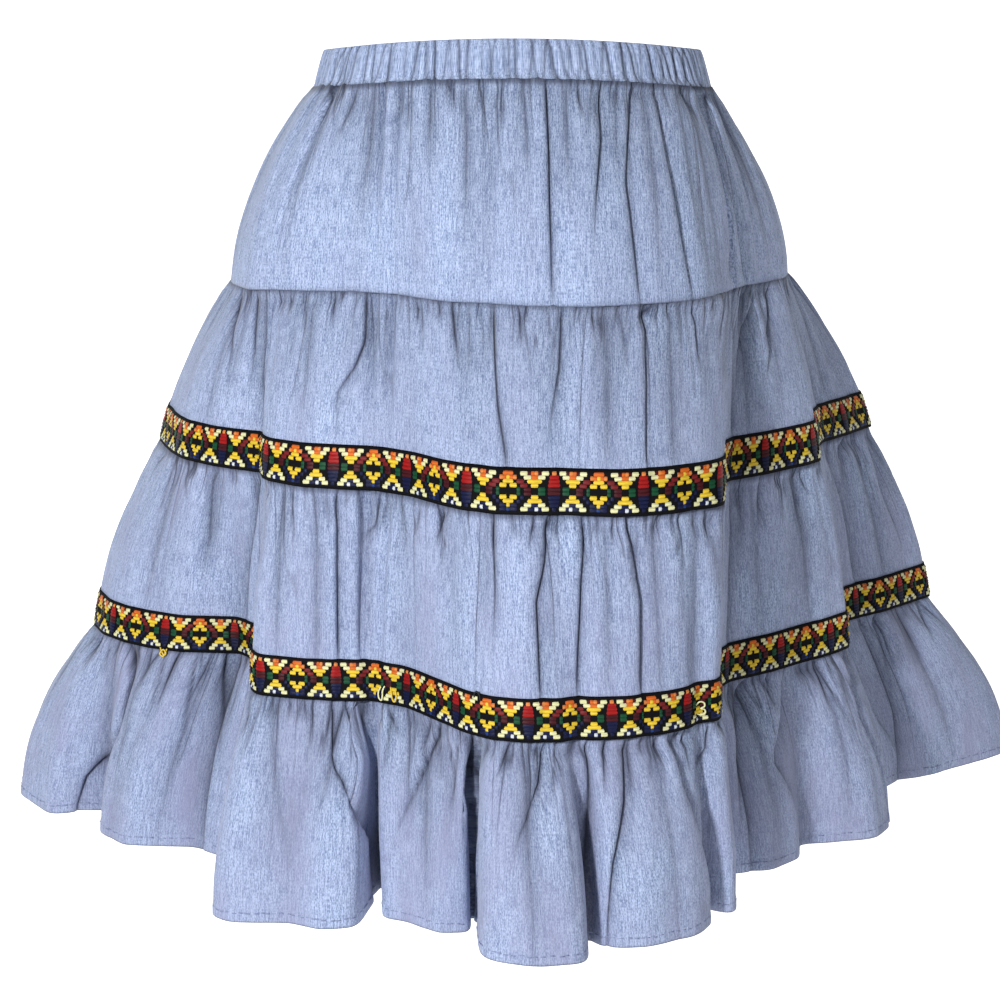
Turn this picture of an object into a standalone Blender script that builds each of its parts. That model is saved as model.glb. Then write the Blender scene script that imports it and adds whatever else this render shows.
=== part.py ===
"""A gathered skirt of four tiers with two woven ribbons, filled out as if it were worn.

Metres, +Z up, the front towards -Y. The origin is in the middle of the waistband, on the
skirt's upright axis, where the wearer's waist holds it. Every level of the skirt is a closed
plan curve, and each tier is a wall of cloth between two of these curves. Angles are in
degrees round the axis, from the centre of the front towards +X.
"""
import math
from collections import namedtuple

import bpy
import numpy as np

# Thickness of the walls, and the gap left where two pieces are sewn together
CLOTH = 0.0014
DOUBLED_CLOTH = 0.0024
RIBBON_CLOTH = 0.0010
SEAM_GAP = 0.0003

# Heights of the edges and seams, from the middle of the waistband
WAIST_TOP = 0.0135
WAIST_SEAM = -0.0135
YOKE_SEAM = -0.1525
UPPER_SEAM = -0.2735
LOWER_SEAM = -0.4135
HEM = -0.5455
RIBBON_HEIGHT = 0.028

# The waist is an oval that draws in towards the top and rides up at the front
WAIST_HALF_WIDTH = 0.145
WAIST_HALF_DEPTH = 0.110
WAIST_DRAWN_IN = 0.008
WAIST_FRONT_RISE = 0.008

# Columns of points round each ring of cloth, and columns to one gather
YOKE_COLUMNS = 112
TIER_COLUMNS = 144
RUFFLE_COLUMNS = 200
GATHER_COLUMNS = 4

# Plan curves are worked out at this many places, and folds are rounded over this length
PLAN_PLACES = 1440
FOLD_ROUNDING = 0.0055

MM = 0.001

# The front half's folds from the left side to the right: each row is one ridge or valley line
# that runs down the skirt, with its angle and its distance from the axis in millimetres at
# the seam under the upper ribbon, at the seam under the lower ribbon, and at the hem
Fold = namedtuple("Fold", "name upper_deg upper_mm lower_deg lower_mm hem_deg hem_mm")
FRONT_FOLDS = [Fold(*row) for row in (
    ("left side ridge", -85, 264, -83, 320, -82, 380),
    ("left panel, back lobe", -79, 260, -78, 311, -75, 358),
    ("left panel, crease", -74, 257, -73.5, 298, -74.5, 316),
    ("left panel, front lobe", -69, 253, -70, 283, -67, 327),
    ("left panel, front lobe", -62, 241, -66, 264, -61.5, 317),
    ("left panel, fold inwards", -57, 231, -61, 226, -56, 276),
    ("hidden floor of the left fold", -52, 222, -51, 222, -46, 262),
    ("front left lobe, edge", -47.5, 231, -43, 262, -36.5, 334),
    ("front left lobe", -45, 233, -40, 268, -33.5, 336),
    ("front left lobe", -38, 231, -34, 257, -27.5, 317),
    ("front left lobe", -32, 222, -28, 246, -23.3, 317),
    ("front left lobe, right edge", -28, 216, -25, 240, -19.3, 306),
    ("valley beside the front left lobe", -26, 214, -24, 236, -21.8, 240),
    ("valley beside the second lobe", -24, 214, -23, 235, -20, 240),
    ("second lobe, left edge", -22, 216, -21.5, 236, -17.3, 286),
    ("second lobe", -17, 222, -16.6, 239, -14, 286),
    ("second lobe", -11, 239, -10.5, 260, -9, 299),
    ("second lobe, right edge", -7, 251, -6, 281, -5.2, 296),
    ("valley beside the centre lobe", -5, 254, -4.5, 286, -5.6, 270),
    ("centre lobe, left edge", -2.5, 260, -2.2, 294, -2.9, 334),
    ("centre lobe", 1, 263, 2, 299, 2.5, 345),
    ("centre lobe, right edge", 5, 264, 6, 300, 8, 341),
    ("valley beside the centre lobe", 7, 264, 7.7, 296, 9, 310),
    ("fourth lobe, left edge", 10, 269, 10, 299, 11, 325),
    ("fourth lobe", 14, 277, 14.5, 300, 16, 327),
    ("fourth lobe", 19, 279, 19.5, 298, 21.7, 322),
    ("fourth lobe, right edge", 22.5, 278, 22.7, 295, 25.3, 308),
    ("valley beside the fourth lobe", 25, 275, 24.7, 288, 26.3, 286),
    ("front right lobe", 28.5, 275, 27.5, 290, 29, 304),
    ("front right lobe, deep edge", 31, 268, 29, 284, 31, 293),
    ("floor of the right fold", 34, 235, 33, 243, 34, 244),
    ("right panel", 42, 220, 41, 231, 43, 266),
    ("right panel", 50, 224, 50, 237, 50, 266),
    ("right panel, crease", 56, 229, 56, 242, 54.5, 254),
    ("right panel, side lobe", 62, 236, 62, 251, 63, 298),
    ("right panel, edge", 67, 240, 69.5, 265, 70, 303),
    ("floor of the second right fold", 72, 226, 74, 246, 75, 268),
    ("side panel, valley", 83, 234, 84, 256, 86, 300),
    ("side panel", 91, 257, 90.5, 290, 89, 332),
    ("right side ridge", 97.5, 283, 98, 338, 97, 411),
)]

# The hidden back has folds like those of the front. Each size is given at the same three
# levels: a ridge's distance from the axis, how much nearer a valley is, and how much further
# out both are at the sides than at the centre of the back
BACK_START_DEG = 108
BACK_END_DEG = 266
BACK_FOLDS = 15
BACK_RIDGE_MM = (256, 300, 366)
BACK_DEPTH_MM = (14, 26, 46)
BACK_SIDE_MM = (10, 12, 22)

# Unevenness: how far the back's folds wander, the share by which their depth and the depth
# of the gathers vary, and the slow beats, in radians a fold or a column, that they follow
BACK_WANDER_DEG = 1.6
BACK_WANDER_BEAT = 2.3
BACK_UNEVEN = 0.22
BACK_UNEVEN_BEAT = 1.7
GATHER_UNEVEN = 0.35
GATHER_BEATS = (0.37, 0.11)

# Where each line of the front meets the seam under the yoke and the waist: its angle at the
# upper ribbon's seam, its angle, distance from the axis and rise at the yoke's seam, and its
# angle at the waist
Path = namedtuple("Path", "upper_deg yoke_deg yoke_mm rise_mm waist_deg")
YOKE_PATHS = [Path(*row) for row in (
    (-120, -118, 192, 0, -118),
    (-97, -95, 207, 0, -97),
    (-85, -80, 209, 0, -86),
    (-62, -66, 205, 0, -72),
    (-50, -59, 194, 2, -66),
    (-40, -50, 177, 3, -60),
    (-32, -41, 166, 4, -52),
    (-22, -29, 161, 4, -39),
    (-10, -15, 163, 1, -21),
    (-4, -6, 165, 1, -8),
    (2, 3, 170, 0, 5),
    (10, 17, 182, 0, 25),
    (19, 30, 185, 0, 46),
    (26, 43, 187, 0, 60),
    (31, 61, 179, 1, 71),
    (45, 69, 179, 1, 75),
    (58, 77, 186, 0, 80),
    (68, 86, 200, 0, 87),
    (97, 99, 213, 0, 98),
    (125, 122, 192, 0, 122),
    (160, 158, 172, 0, 157),
    (200, 202, 172, 0, 203),
)]

# Sections of a ring: share of the way down it, and how far its gathers stand out there
Section = namedtuple("Section", "share gather_mm")
YOKE_SECTIONS = [Section(*row) for row in ((0, 0.8), (0.12, 1.8), (0.45, 1.6), (1, 0))]
TIER_SECTIONS = [Section(*row) for row in ((0, 0), (0.12, 2.8), (0.42, 1.6))]
RUFFLE_SECTIONS = [Section(*row) for row in ((0, 0), (0.12, 3.2), (0.45, 2.2), (1, 1.4))]
WAIST_RIB_MM = 0.8

# A tier puffs out under its seam: how much further than a straight cone it has gone halfway
YOKE_PUFF = 0.80
UPPER_PUFF = 0.50
LOWER_PUFF = 0.60
RUFFLE_PUFF = 0.80

# Colours of the cloth, as linear values
CHAMBRAY = (0.40, 0.50, 0.68)
RIBBON_BLACK = (0.02, 0.02, 0.022)


def polar(degrees, radius):
    """Points of the plan from angles round the axis and distances from it."""
    turn = np.radians(degrees)
    return np.stack([radius * np.sin(turn), -radius * np.cos(turn)], axis=-1)


def back_folds():
    """Rows for the hidden back, whose ridges and valleys take turns."""
    rows = []
    for k in range(BACK_FOLDS):
        share = k / (BACK_FOLDS - 1)
        degrees = BACK_START_DEG + share * (BACK_END_DEG - BACK_START_DEG)
        degrees += BACK_WANDER_DEG * math.sin(BACK_WANDER_BEAT * k)
        uneven = 1 + BACK_UNEVEN * math.sin(BACK_UNEVEN_BEAT * k)
        sideways = math.cos(math.pi * share) ** 2
        sizes = []
        for ridge, depth, wider in zip(BACK_RIDGE_MM, BACK_DEPTH_MM, BACK_SIDE_MM):
            sizes.append(ridge + wider * sideways - (depth * uneven if k % 2 else 0))
        rows.append(Fold("back", degrees, sizes[0], degrees, sizes[1], degrees, sizes[2]))
    return rows


def soften(points, spacing):
    """Round the corners of a closed curve over about FOLD_ROUNDING."""
    reach = int(4 * FOLD_ROUNDING / spacing)
    steps = np.arange(-reach, reach + 1)
    weights = np.exp(-0.5 * (steps * spacing / FOLD_ROUNDING) ** 2)
    weights /= weights.sum()
    return sum(w * np.roll(points, step, axis=0) for w, step in zip(weights, steps))


def plan_curves():
    """The plan curve of every level, all at the same PLAN_PLACES lines down the skirt."""
    folds = FRONT_FOLDS + back_folds()
    corners = {
        "upper": polar([f.upper_deg for f in folds], np.array([f.upper_mm for f in folds]) * MM),
        "lower": polar([f.lower_deg for f in folds], np.array([f.lower_mm for f in folds]) * MM),
        "hem": polar([f.hem_deg for f in folds], np.array([f.hem_mm for f in folds]) * MM),
    }
    edges = [np.roll(c, -1, axis=0) - c for c in corners.values()]
    lengths = sum(np.linalg.norm(edge, axis=1) for edge in edges) / len(edges)
    ends = np.concatenate([[0], np.cumsum(lengths)])
    girth = ends[-1]
    places = np.linspace(0, girth, PLAN_PLACES, endpoint=False)
    curves = {}
    for level, points in corners.items():
        line = np.stack([np.interp(places, ends[:-1], axis, period=girth) for axis in points.T], -1)
        curves[level] = soften(line, girth / PLAN_PLACES)

    upper_deg = np.interp(places, ends, [f.upper_deg for f in folds] + [folds[0].upper_deg + 360])
    path = {name: [getattr(p, name) for p in YOKE_PATHS] for name in Path._fields}
    shift = {name: np.subtract(path[name], path["upper_deg"]) for name in ("yoke_deg", "waist_deg")}

    def along(values):
        return np.interp(upper_deg, path["upper_deg"], values, period=360)

    yoke = polar(upper_deg + along(shift["yoke_deg"]), along(path["yoke_mm"]) * MM)
    waist_deg = np.radians(upper_deg + along(shift["waist_deg"]))
    waist_radius = 1 / np.hypot(np.sin(waist_deg) / WAIST_HALF_WIDTH,
                                np.cos(waist_deg) / WAIST_HALF_DEPTH)
    curves["yoke"] = soften(yoke, girth / PLAN_PLACES)
    curves["waist"] = soften(polar(np.degrees(waist_deg), waist_radius), girth / PLAN_PLACES)
    rise = soften(along(path["rise_mm"])[:, None] * MM, girth / PLAN_PLACES)[:, 0]
    return curves, rise


def column_places(curve, count):
    """Places of evenly spaced columns round a plan curve."""
    steps = np.linalg.norm(np.roll(curve, -1, axis=0) - curve, axis=1)
    ends = np.concatenate([[0], np.cumsum(steps)])
    return np.interp(np.arange(count) / count * ends[-1], ends, np.arange(len(curve) + 1))


def pick(values, places):
    """Values of a closed curve read at fractional places."""
    index = np.arange(len(values))
    if values.ndim == 1:
        return np.interp(places, index, values, period=len(values))
    return np.stack([np.interp(places, index, axis, period=len(values)) for axis in values.T], -1)


def outward(ring):
    """Level unit normals of a closed ring of points, away from the axis."""
    along = np.roll(ring[:, :2], -1, axis=0) - np.roll(ring[:, :2], 1, axis=0)
    normal = np.stack([along[:, 1], -along[:, 0]], -1)
    return normal / np.linalg.norm(normal, axis=1, keepdims=True)


def pushed(ring, distance):
    """The ring with every point moved level and outwards."""
    moved = ring.copy()
    moved[:, :2] += outward(ring) * np.reshape(distance, (-1, 1))
    return moved


def gather_wave(count):
    """Out, level, in, level: one gather each GATHER_COLUMNS columns, unevenly deep."""
    column = np.arange(count)
    quick, slow = (np.sin(column * beat + 1) for beat in GATHER_BEATS)
    uneven = 1 + GATHER_UNEVEN * quick * slow
    return np.sin(column * 2 * math.pi / GATHER_COLUMNS) * uneven


def ring_rows(top, bottom, heights, places, sections, puff):
    """The middle surface of a ring of cloth: one closed ring of points for each section."""
    wave = gather_wave(len(places))
    upper, lower = pick(top, places), pick(bottom, places)
    rows = []
    for section in sections:
        v = section.share
        reach = v + puff * v * (1 - v)
        ring = np.empty((len(places), 3))
        ring[:, :2] = upper + (lower - upper) * reach
        ring[:, 2] = heights[0] + (heights[1] - heights[0]) * v
        rows.append(pushed(ring, wave * section.gather_mm * MM))
    return rows


def cloth_wall(name, outer, inner, material):
    """A closed tube wall between rings of outer and inner points, top to bottom.

    Both sides of the wall are cut into triangles along the same diagonals, so that what lies
    on the wall stays parallel to it where the cloth is twisted.
    """
    count = len(outer[0])
    rings = outer + inner[::-1]
    points = np.concatenate(rings)
    faces = []
    for r in range(len(rings)):
        above, below = r * count, (r + 1) % len(rings) * count
        for i in range(count):
            j = (i + 1) % count
            if r < len(outer):
                faces += [(above + i, below + i, below + j), (above + i, below + j, above + j)]
            else:
                faces += [(above + i, below + i, above + j), (above + j, below + i, below + j)]
    mesh = bpy.data.meshes.new(name)
    mesh.from_pydata(points.tolist(), [], faces)
    mesh.materials.append(material)
    mesh.shade_smooth()
    mesh.set_sharp_from_angle(angle=math.radians(60))
    obj = bpy.data.objects.new(name, mesh)
    bpy.context.collection.objects.link(obj)
    return obj


def ring_of_cloth(name, rows, thickness, material):
    """A wall whose middle surface is the given rows."""
    outer = [pushed(row, thickness / 2) for row in rows]
    inner = [pushed(row, -thickness / 2) for row in rows]
    return cloth_wall(name, outer, inner, material)


def ribbon_on(name, rows, material):
    """A ribbon sewn flat on the last two rows of a tier."""
    seat = CLOTH / 2 + SEAM_GAP
    outer = [pushed(row, seat + RIBBON_CLOTH) for row in rows[-2:]]
    inner = [pushed(row, seat) for row in rows[-2:]]
    return cloth_wall(name, outer, inner, material)


def cloth_material(name, colour, roughness):
    material = bpy.data.materials.new(name)
    material.use_nodes = True
    shader = material.node_tree.nodes["Principled BSDF"]
    shader.inputs["Base Color"].default_value = (*colour, 1)
    shader.inputs["Roughness"].default_value = roughness
    shader.inputs["Metallic"].default_value = 0
    material.diffuse_color = (*colour, 1)
    return material


def build_waistband_and_yoke(curves, rise):
    """The elasticated band and the first tier share their columns, so the ribs run on."""
    places = column_places(curves["yoke"], YOKE_COLUMNS)
    waist = pick(curves["waist"], places)
    forward = np.clip(-waist[:, 1] / WAIST_HALF_DEPTH, 0, 1)
    waist_rise = WAIST_FRONT_RISE * forward ** 2
    ribs = gather_wave(YOKE_COLUMNS) * WAIST_RIB_MM * MM
    band_rows = []
    for height, drawn_in in ((WAIST_TOP, WAIST_DRAWN_IN), (WAIST_SEAM + SEAM_GAP / 2, 0)):
        ring = np.column_stack([waist, height + waist_rise])
        band_rows.append(pushed(ring, ribs - drawn_in))
    ring_of_cloth("waistband", band_rows, DOUBLED_CLOTH, cloth_material("band", CHAMBRAY, 0.85))

    heights = (WAIST_SEAM - SEAM_GAP / 2 + waist_rise, YOKE_SEAM + SEAM_GAP / 2 + pick(rise, places))
    rows = ring_rows(curves["waist"], curves["yoke"], heights, places, YOKE_SECTIONS, YOKE_PUFF)
    ring_of_cloth("yoke", rows, CLOTH, cloth_material("yoke cloth", CHAMBRAY, 0.85))


def build_ribboned_tier(name, ribbon, curves, levels, heights, puff):
    """A gathered tier with a ribbon over its lower edge."""
    middle = (curves[levels[0]] + curves[levels[1]]) / 2
    places = column_places(middle, TIER_COLUMNS)
    top = heights[0] if np.isscalar(heights[0]) else pick(heights[0], places)
    span = (top - SEAM_GAP / 2, heights[1] + SEAM_GAP / 2)
    ribbon_share = 1 - RIBBON_HEIGHT / (np.mean(span[0]) - span[1])
    sections = TIER_SECTIONS + [Section(ribbon_share, 0.6), Section(1, 0)]
    rows = ring_rows(curves[levels[0]], curves[levels[1]], span, places, sections, puff)
    ring_of_cloth(name, rows, CLOTH, cloth_material(name + " cloth", CHAMBRAY, 0.85))
    ribbon_on(ribbon, rows, cloth_material(ribbon + " weave", RIBBON_BLACK, 0.7))


def build_ruffle(curves):
    places = column_places(curves["hem"], RUFFLE_COLUMNS)
    heights = (LOWER_SEAM - SEAM_GAP / 2, HEM)
    rows = ring_rows(curves["lower"], curves["hem"], heights, places, RUFFLE_SECTIONS, RUFFLE_PUFF)
    ring_of_cloth("ruffle", rows, CLOTH, cloth_material("ruffle cloth", CHAMBRAY, 0.85))


def main():
    for obj in list(bpy.data.objects):
        bpy.data.objects.remove(obj, do_unlink=True)
    curves, rise = plan_curves()
    build_waistband_and_yoke(curves, rise)
    build_ribboned_tier("tier_2", "ribbon_upper", curves, ("yoke", "upper"),
                        (YOKE_SEAM + rise, UPPER_SEAM), UPPER_PUFF)
    build_ribboned_tier("tier_3", "ribbon_lower", curves, ("upper", "lower"),
                        (UPPER_SEAM, LOWER_SEAM), LOWER_PUFF)
    build_ruffle(curves)


main()
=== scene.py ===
"""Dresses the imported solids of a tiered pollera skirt: gathered chambray, two woven ribbons,
a stitched hem and a few loose threads, with a plain stage and a camera.

Metres, +Z up, the front towards -Y, the origin in the middle of the waistband. Angles are in
degrees round the upright axis, from the centre of the front towards +X.
"""
import math
from collections import namedtuple

import bmesh
import bpy
import numpy as np
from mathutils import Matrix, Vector, noise


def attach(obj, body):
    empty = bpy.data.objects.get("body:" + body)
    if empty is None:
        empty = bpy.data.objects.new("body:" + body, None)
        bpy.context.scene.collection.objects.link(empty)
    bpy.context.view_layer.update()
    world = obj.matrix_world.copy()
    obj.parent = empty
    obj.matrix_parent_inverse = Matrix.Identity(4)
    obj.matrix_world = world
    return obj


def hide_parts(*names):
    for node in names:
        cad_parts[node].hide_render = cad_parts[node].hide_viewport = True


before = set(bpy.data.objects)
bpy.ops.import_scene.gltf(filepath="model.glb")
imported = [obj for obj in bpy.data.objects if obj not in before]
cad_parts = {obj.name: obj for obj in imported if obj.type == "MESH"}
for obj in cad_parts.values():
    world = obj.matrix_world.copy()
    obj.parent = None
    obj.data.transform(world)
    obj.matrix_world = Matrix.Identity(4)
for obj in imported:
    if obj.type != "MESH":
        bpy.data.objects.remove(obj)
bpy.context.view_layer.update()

bl_info = {
    "name": "Tiered Pollera Skirt",
    "version": (1, 0, 0),
    "blender": (4, 5, 0),
    "location": "3D Viewport > Sidebar > Skirt",
    "description": "Makes a gathered four-tier skirt with woven ribbons, and its stage",
    "category": "Add Mesh",
}

MM = 0.001

# Heights of the edges and seams, from the middle of the waistband, as in the solids
WAIST_TOP = 0.0135
WAIST_SEAM = -0.0135
YOKE_SEAM = -0.1525
UPPER_SEAM = -0.2735
LOWER_SEAM = -0.4135
HEM = -0.5455
RIBBON_HEIGHT = 0.028
CUT_HEIGHT = 0.151
CAD_CLOTH = 0.0014

# The waist is an oval that draws in towards the top and rides up at the front
WAIST_HALF_WIDTH = 0.145
WAIST_HALF_DEPTH = 0.110
WAIST_DRAWN_IN = 0.008
WAIST_FRONT_RISE = 0.008

# Plan curves are worked out at this many places. Folds are rounded over this length, which
# is less than in the solids, because thin cloth folds more sharply than their walls
PLAN_PLACES = 1440
FOLD_ROUNDING = 0.0038

# The front half's folds from the left side to the right: each row is one ridge or valley line
# that runs down the skirt, with its angle and its distance from the axis in millimetres at
# the seam under the upper ribbon, at the seam under the lower ribbon, and at the hem
Fold = namedtuple("Fold", "name upper_deg upper_mm lower_deg lower_mm hem_deg hem_mm")
FRONT_FOLDS = [Fold(*row) for row in (
    ("left side ridge", -85, 264, -83, 320, -82, 380),
    ("left panel, back lobe", -79, 260, -78, 311, -75, 358),
    ("left panel, crease", -74, 257, -73.5, 298, -74.5, 316),
    ("left panel, front lobe", -69, 253, -70, 283, -67, 327),
    ("left panel, front lobe", -62, 241, -66, 264, -61.5, 317),
    ("left panel, fold inwards", -57, 231, -61, 226, -56, 276),
    ("hidden floor of the left fold", -52, 222, -51, 222, -46, 262),
    ("front left lobe, edge", -47.5, 231, -43, 262, -36.5, 334),
    ("front left lobe", -45, 233, -40, 268, -33.5, 336),
    ("front left lobe", -38, 231, -34, 257, -27.5, 317),
    ("front left lobe", -32, 222, -28, 246, -23.3, 317),
    ("front left lobe, right edge", -28, 216, -25, 240, -19.3, 306),
    ("valley beside the front left lobe", -26, 214, -24, 236, -21.8, 240),
    ("valley beside the second lobe", -24, 214, -23, 235, -20, 240),
    ("second lobe, left edge", -22, 216, -21.5, 236, -17.3, 286),
    ("second lobe", -17, 222, -16.6, 239, -14, 286),
    ("second lobe", -11, 239, -10.5, 260, -9, 299),
    ("second lobe, right edge", -7, 251, -6, 281, -5.2, 296),
    ("valley beside the centre lobe", -5, 254, -4.5, 286, -5.6, 270),
    ("centre lobe, left edge", -2.5, 260, -2.2, 294, -2.9, 334),
    ("centre lobe", 1, 263, 2, 299, 2.5, 345),
    ("centre lobe, right edge", 5, 264, 6, 300, 8, 341),
    ("valley beside the centre lobe", 7, 264, 7.7, 296, 9, 310),
    ("fourth lobe, left edge", 10, 269, 10, 299, 11, 325),
    ("fourth lobe", 14, 277, 14.5, 300, 16, 327),
    ("fourth lobe", 19, 279, 19.5, 298, 21.7, 322),
    ("fourth lobe, right edge", 22.5, 278, 22.7, 295, 25.3, 308),
    ("valley beside the fourth lobe", 25, 275, 24.7, 288, 26.3, 286),
    ("front right lobe", 28.5, 275, 27.5, 290, 29, 304),
    ("front right lobe, deep edge", 31, 268, 29, 284, 31, 293),
    ("floor of the right fold", 34, 235, 33, 243, 34, 244),
    ("right panel", 42, 220, 41, 231, 43, 266),
    ("right panel", 50, 224, 50, 237, 50, 266),
    ("right panel, crease", 56, 229, 56, 242, 54.5, 254),
    ("right panel, side lobe", 62, 236, 62, 251, 63, 298),
    ("right panel, edge", 67, 240, 69.5, 265, 70, 303),
    ("floor of the second right fold", 72, 226, 74, 246, 75, 268),
    ("side panel, valley", 83, 234, 84, 256, 86, 300),
    ("side panel", 91, 257, 90.5, 290, 89, 332),
    ("right side ridge", 97.5, 283, 98, 338, 97, 411),
)]

# The hidden back has folds like those of the front. Each size is given at the same three
# levels: a ridge's distance from the axis, how much nearer a valley is, and how much further
# out both are at the sides than at the centre of the back
BACK_START_DEG = 108
BACK_END_DEG = 266
BACK_FOLDS = 15
BACK_RIDGE_MM = (256, 300, 366)
BACK_DEPTH_MM = (14, 26, 46)
BACK_SIDE_MM = (10, 12, 22)
BACK_WANDER_DEG = 1.6
BACK_WANDER_BEAT = 2.3
BACK_UNEVEN = 0.22
BACK_UNEVEN_BEAT = 1.7

# Where each line of the front meets the seam under the yoke and the waist: its angle at the
# upper ribbon's seam, its angle, distance from the axis and rise at the yoke's seam, and its
# angle at the waist
Path = namedtuple("Path", "upper_deg yoke_deg yoke_mm rise_mm waist_deg")
YOKE_PATHS = [Path(*row) for row in (
    (-120, -118, 192, 0, -118),
    (-97, -95, 207, 0, -97),
    (-85, -80, 209, 0, -86),
    (-62, -66, 205, 0, -72),
    (-50, -59, 194, 2, -66),
    (-40, -50, 177, 3, -60),
    (-32, -41, 166, 4, -52),
    (-22, -29, 161, 4, -39),
    (-10, -15, 163, 1, -21),
    (-4, -6, 165, 1, -8),
    (2, 3, 170, 0, 5),
    (10, 17, 182, 0, 25),
    (19, 30, 185, 0, 46),
    (26, 43, 187, 0, 60),
    (31, 61, 179, 1, 71),
    (45, 69, 179, 1, 75),
    (58, 77, 186, 0, 80),
    (68, 86, 200, 0, 87),
    (97, 99, 213, 0, 98),
    (125, 122, 192, 0, 122),
    (160, 158, 172, 0, 157),
    (200, 202, 172, 0, 203),
)]

# The tiers of cloth: plan curves and heights of their edges, how far they puff out under
# their seam, columns and rows of the mesh, and the width and height that they were cut to
Tier = namedtuple("Tier", "name node line top bottom heights puff columns rows cut held_flat seed")
YOKE = Tier("skirt_yoke", "yoke", "yoke", "waist", "yoke", (WAIST_SEAM, YOKE_SEAM), 0.80,
            1100, 30, (1.24, 0.152), 1.0, 3)
UPPER_TIER = Tier("skirt_upper_tier", "tier_2", "upper", "yoke", "upper", (YOKE_SEAM, UPPER_SEAM),
                  0.50, 1500, 28, (1.80, 0.150), 0.80, 11)
LOWER_TIER = Tier("skirt_lower_tier", "tier_3", "lower", "upper", "lower", (UPPER_SEAM, LOWER_SEAM),
                  0.60, 1500, 28, (2.15, 0.152), 0.84, 17)
RUFFLE = Tier("skirt_ruffle", "ruffle", "lower", "lower", "hem", (LOWER_SEAM, HEM),
              0.80, 1700, 28, (2.80, 0.150), 1.1, 23)

# Small gathers, strewn unevenly under each seam: how many, and the least and the most of
# their depth and width in millimetres and of their length as a share of the tier
Strewn = namedtuple("Strewn", "name count depth_mm width_mm length")
STREWN = {
    "yoke": (Strewn("puckers", 200, (0.8, 1.8), (0.9, 1.5), (0.02, 0.08)),
             Strewn("gathers", 70, (0.8, 2.2), (1.6, 3.2), (0.06, 0.45)),
             Strewn("soft folds", 44, (0.8, 3.4), (5, 11), (0.6, 1.5))),
    "tier_2": (Strewn("puckers", 210, (0.8, 1.8), (1.0, 1.8), (0.03, 0.10)),
               Strewn("gathers", 110, (1.0, 2.6), (1.4, 3.2), (0.08, 0.45)),
               Strewn("soft folds", 60, (0.8, 2.4), (6, 13), (0.5, 1.4))),
    "tier_3": (Strewn("puckers", 220, (1.0, 2.2), (1.0, 1.8), (0.03, 0.10)),
               Strewn("gathers", 116, (1.4, 3.2), (1.4, 3.2), (0.08, 0.42)),
               Strewn("soft folds", 64, (1.2, 3.0), (6, 13), (0.5, 1.4))),
    "ruffle": (Strewn("puckers", 280, (1.2, 2.8), (1.1, 2.0), (0.04, 0.13)),
               Strewn("gathers", 150, (2.0, 4.4), (1.8, 4.2), (0.10, 0.56)),
               Strewn("soft folds", 76, (1.6, 4.0), (7, 14), (0.6, 1.6))),
}

# How far each strewn one lies from its even place, how one-sided it may be, how much more of
# them are short than long, and how far it leans, in places of the plan curve
STREWN_ASTRAY = (-0.45, 0.45)
STREWN_SKEW = (0.6, 1.5)
MOSTLY_SHORT = 1.8
STREWN_LEAN = 3
STREWN_LEAN_BY_LENGTH = 12

# The main creases: each is a line of points, with the angle of the line down the skirt and the
# share of the tier's height. Each kind has a depth, and the width of the slope to its left and to
# its right, in millimetres: where cloth folds over, one side is steep
Crease = namedtuple("Crease", "depth_mm left_mm right_mm")
BESIDE_LOBES = {"right of a lobe": Crease(4.4, 1.5, 9.0), "left of a lobe": Crease(4.4, 9.0, 1.5),
                "broad": Crease(2.6, 5.5, 6.5)}
TIER_KINDS = {"folded": Crease(6.5, 1.3, 5.0), "sharp": Crease(5.0, 1.6, 3.6),
              "soft": Crease(3.4, 4.5, 5.5), "short": Crease(3.6, 1.3, 2.2), **BESIDE_LOBES}
CREASE_KINDS = {
    "yoke": {"folded": Crease(5.5, 1.3, 5.0), "sharp": Crease(4.2, 1.6, 4.0),
             "soft": Crease(3.0, 4.5, 5.5), "short": Crease(3.0, 1.3, 2.0),
             "broad": Crease(2.4, 5.0, 6.0)},
    "tier_2": TIER_KINDS,
    "tier_3": TIER_KINDS,
    "ruffle": {"folded": Crease(8.0, 1.4, 6.0), "sharp": Crease(6.0, 1.8, 4.2),
               "soft": Crease(4.2, 5.0, 6.0), "short": Crease(4.2, 1.4, 2.4), **BESIDE_LOBES},
}
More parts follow.
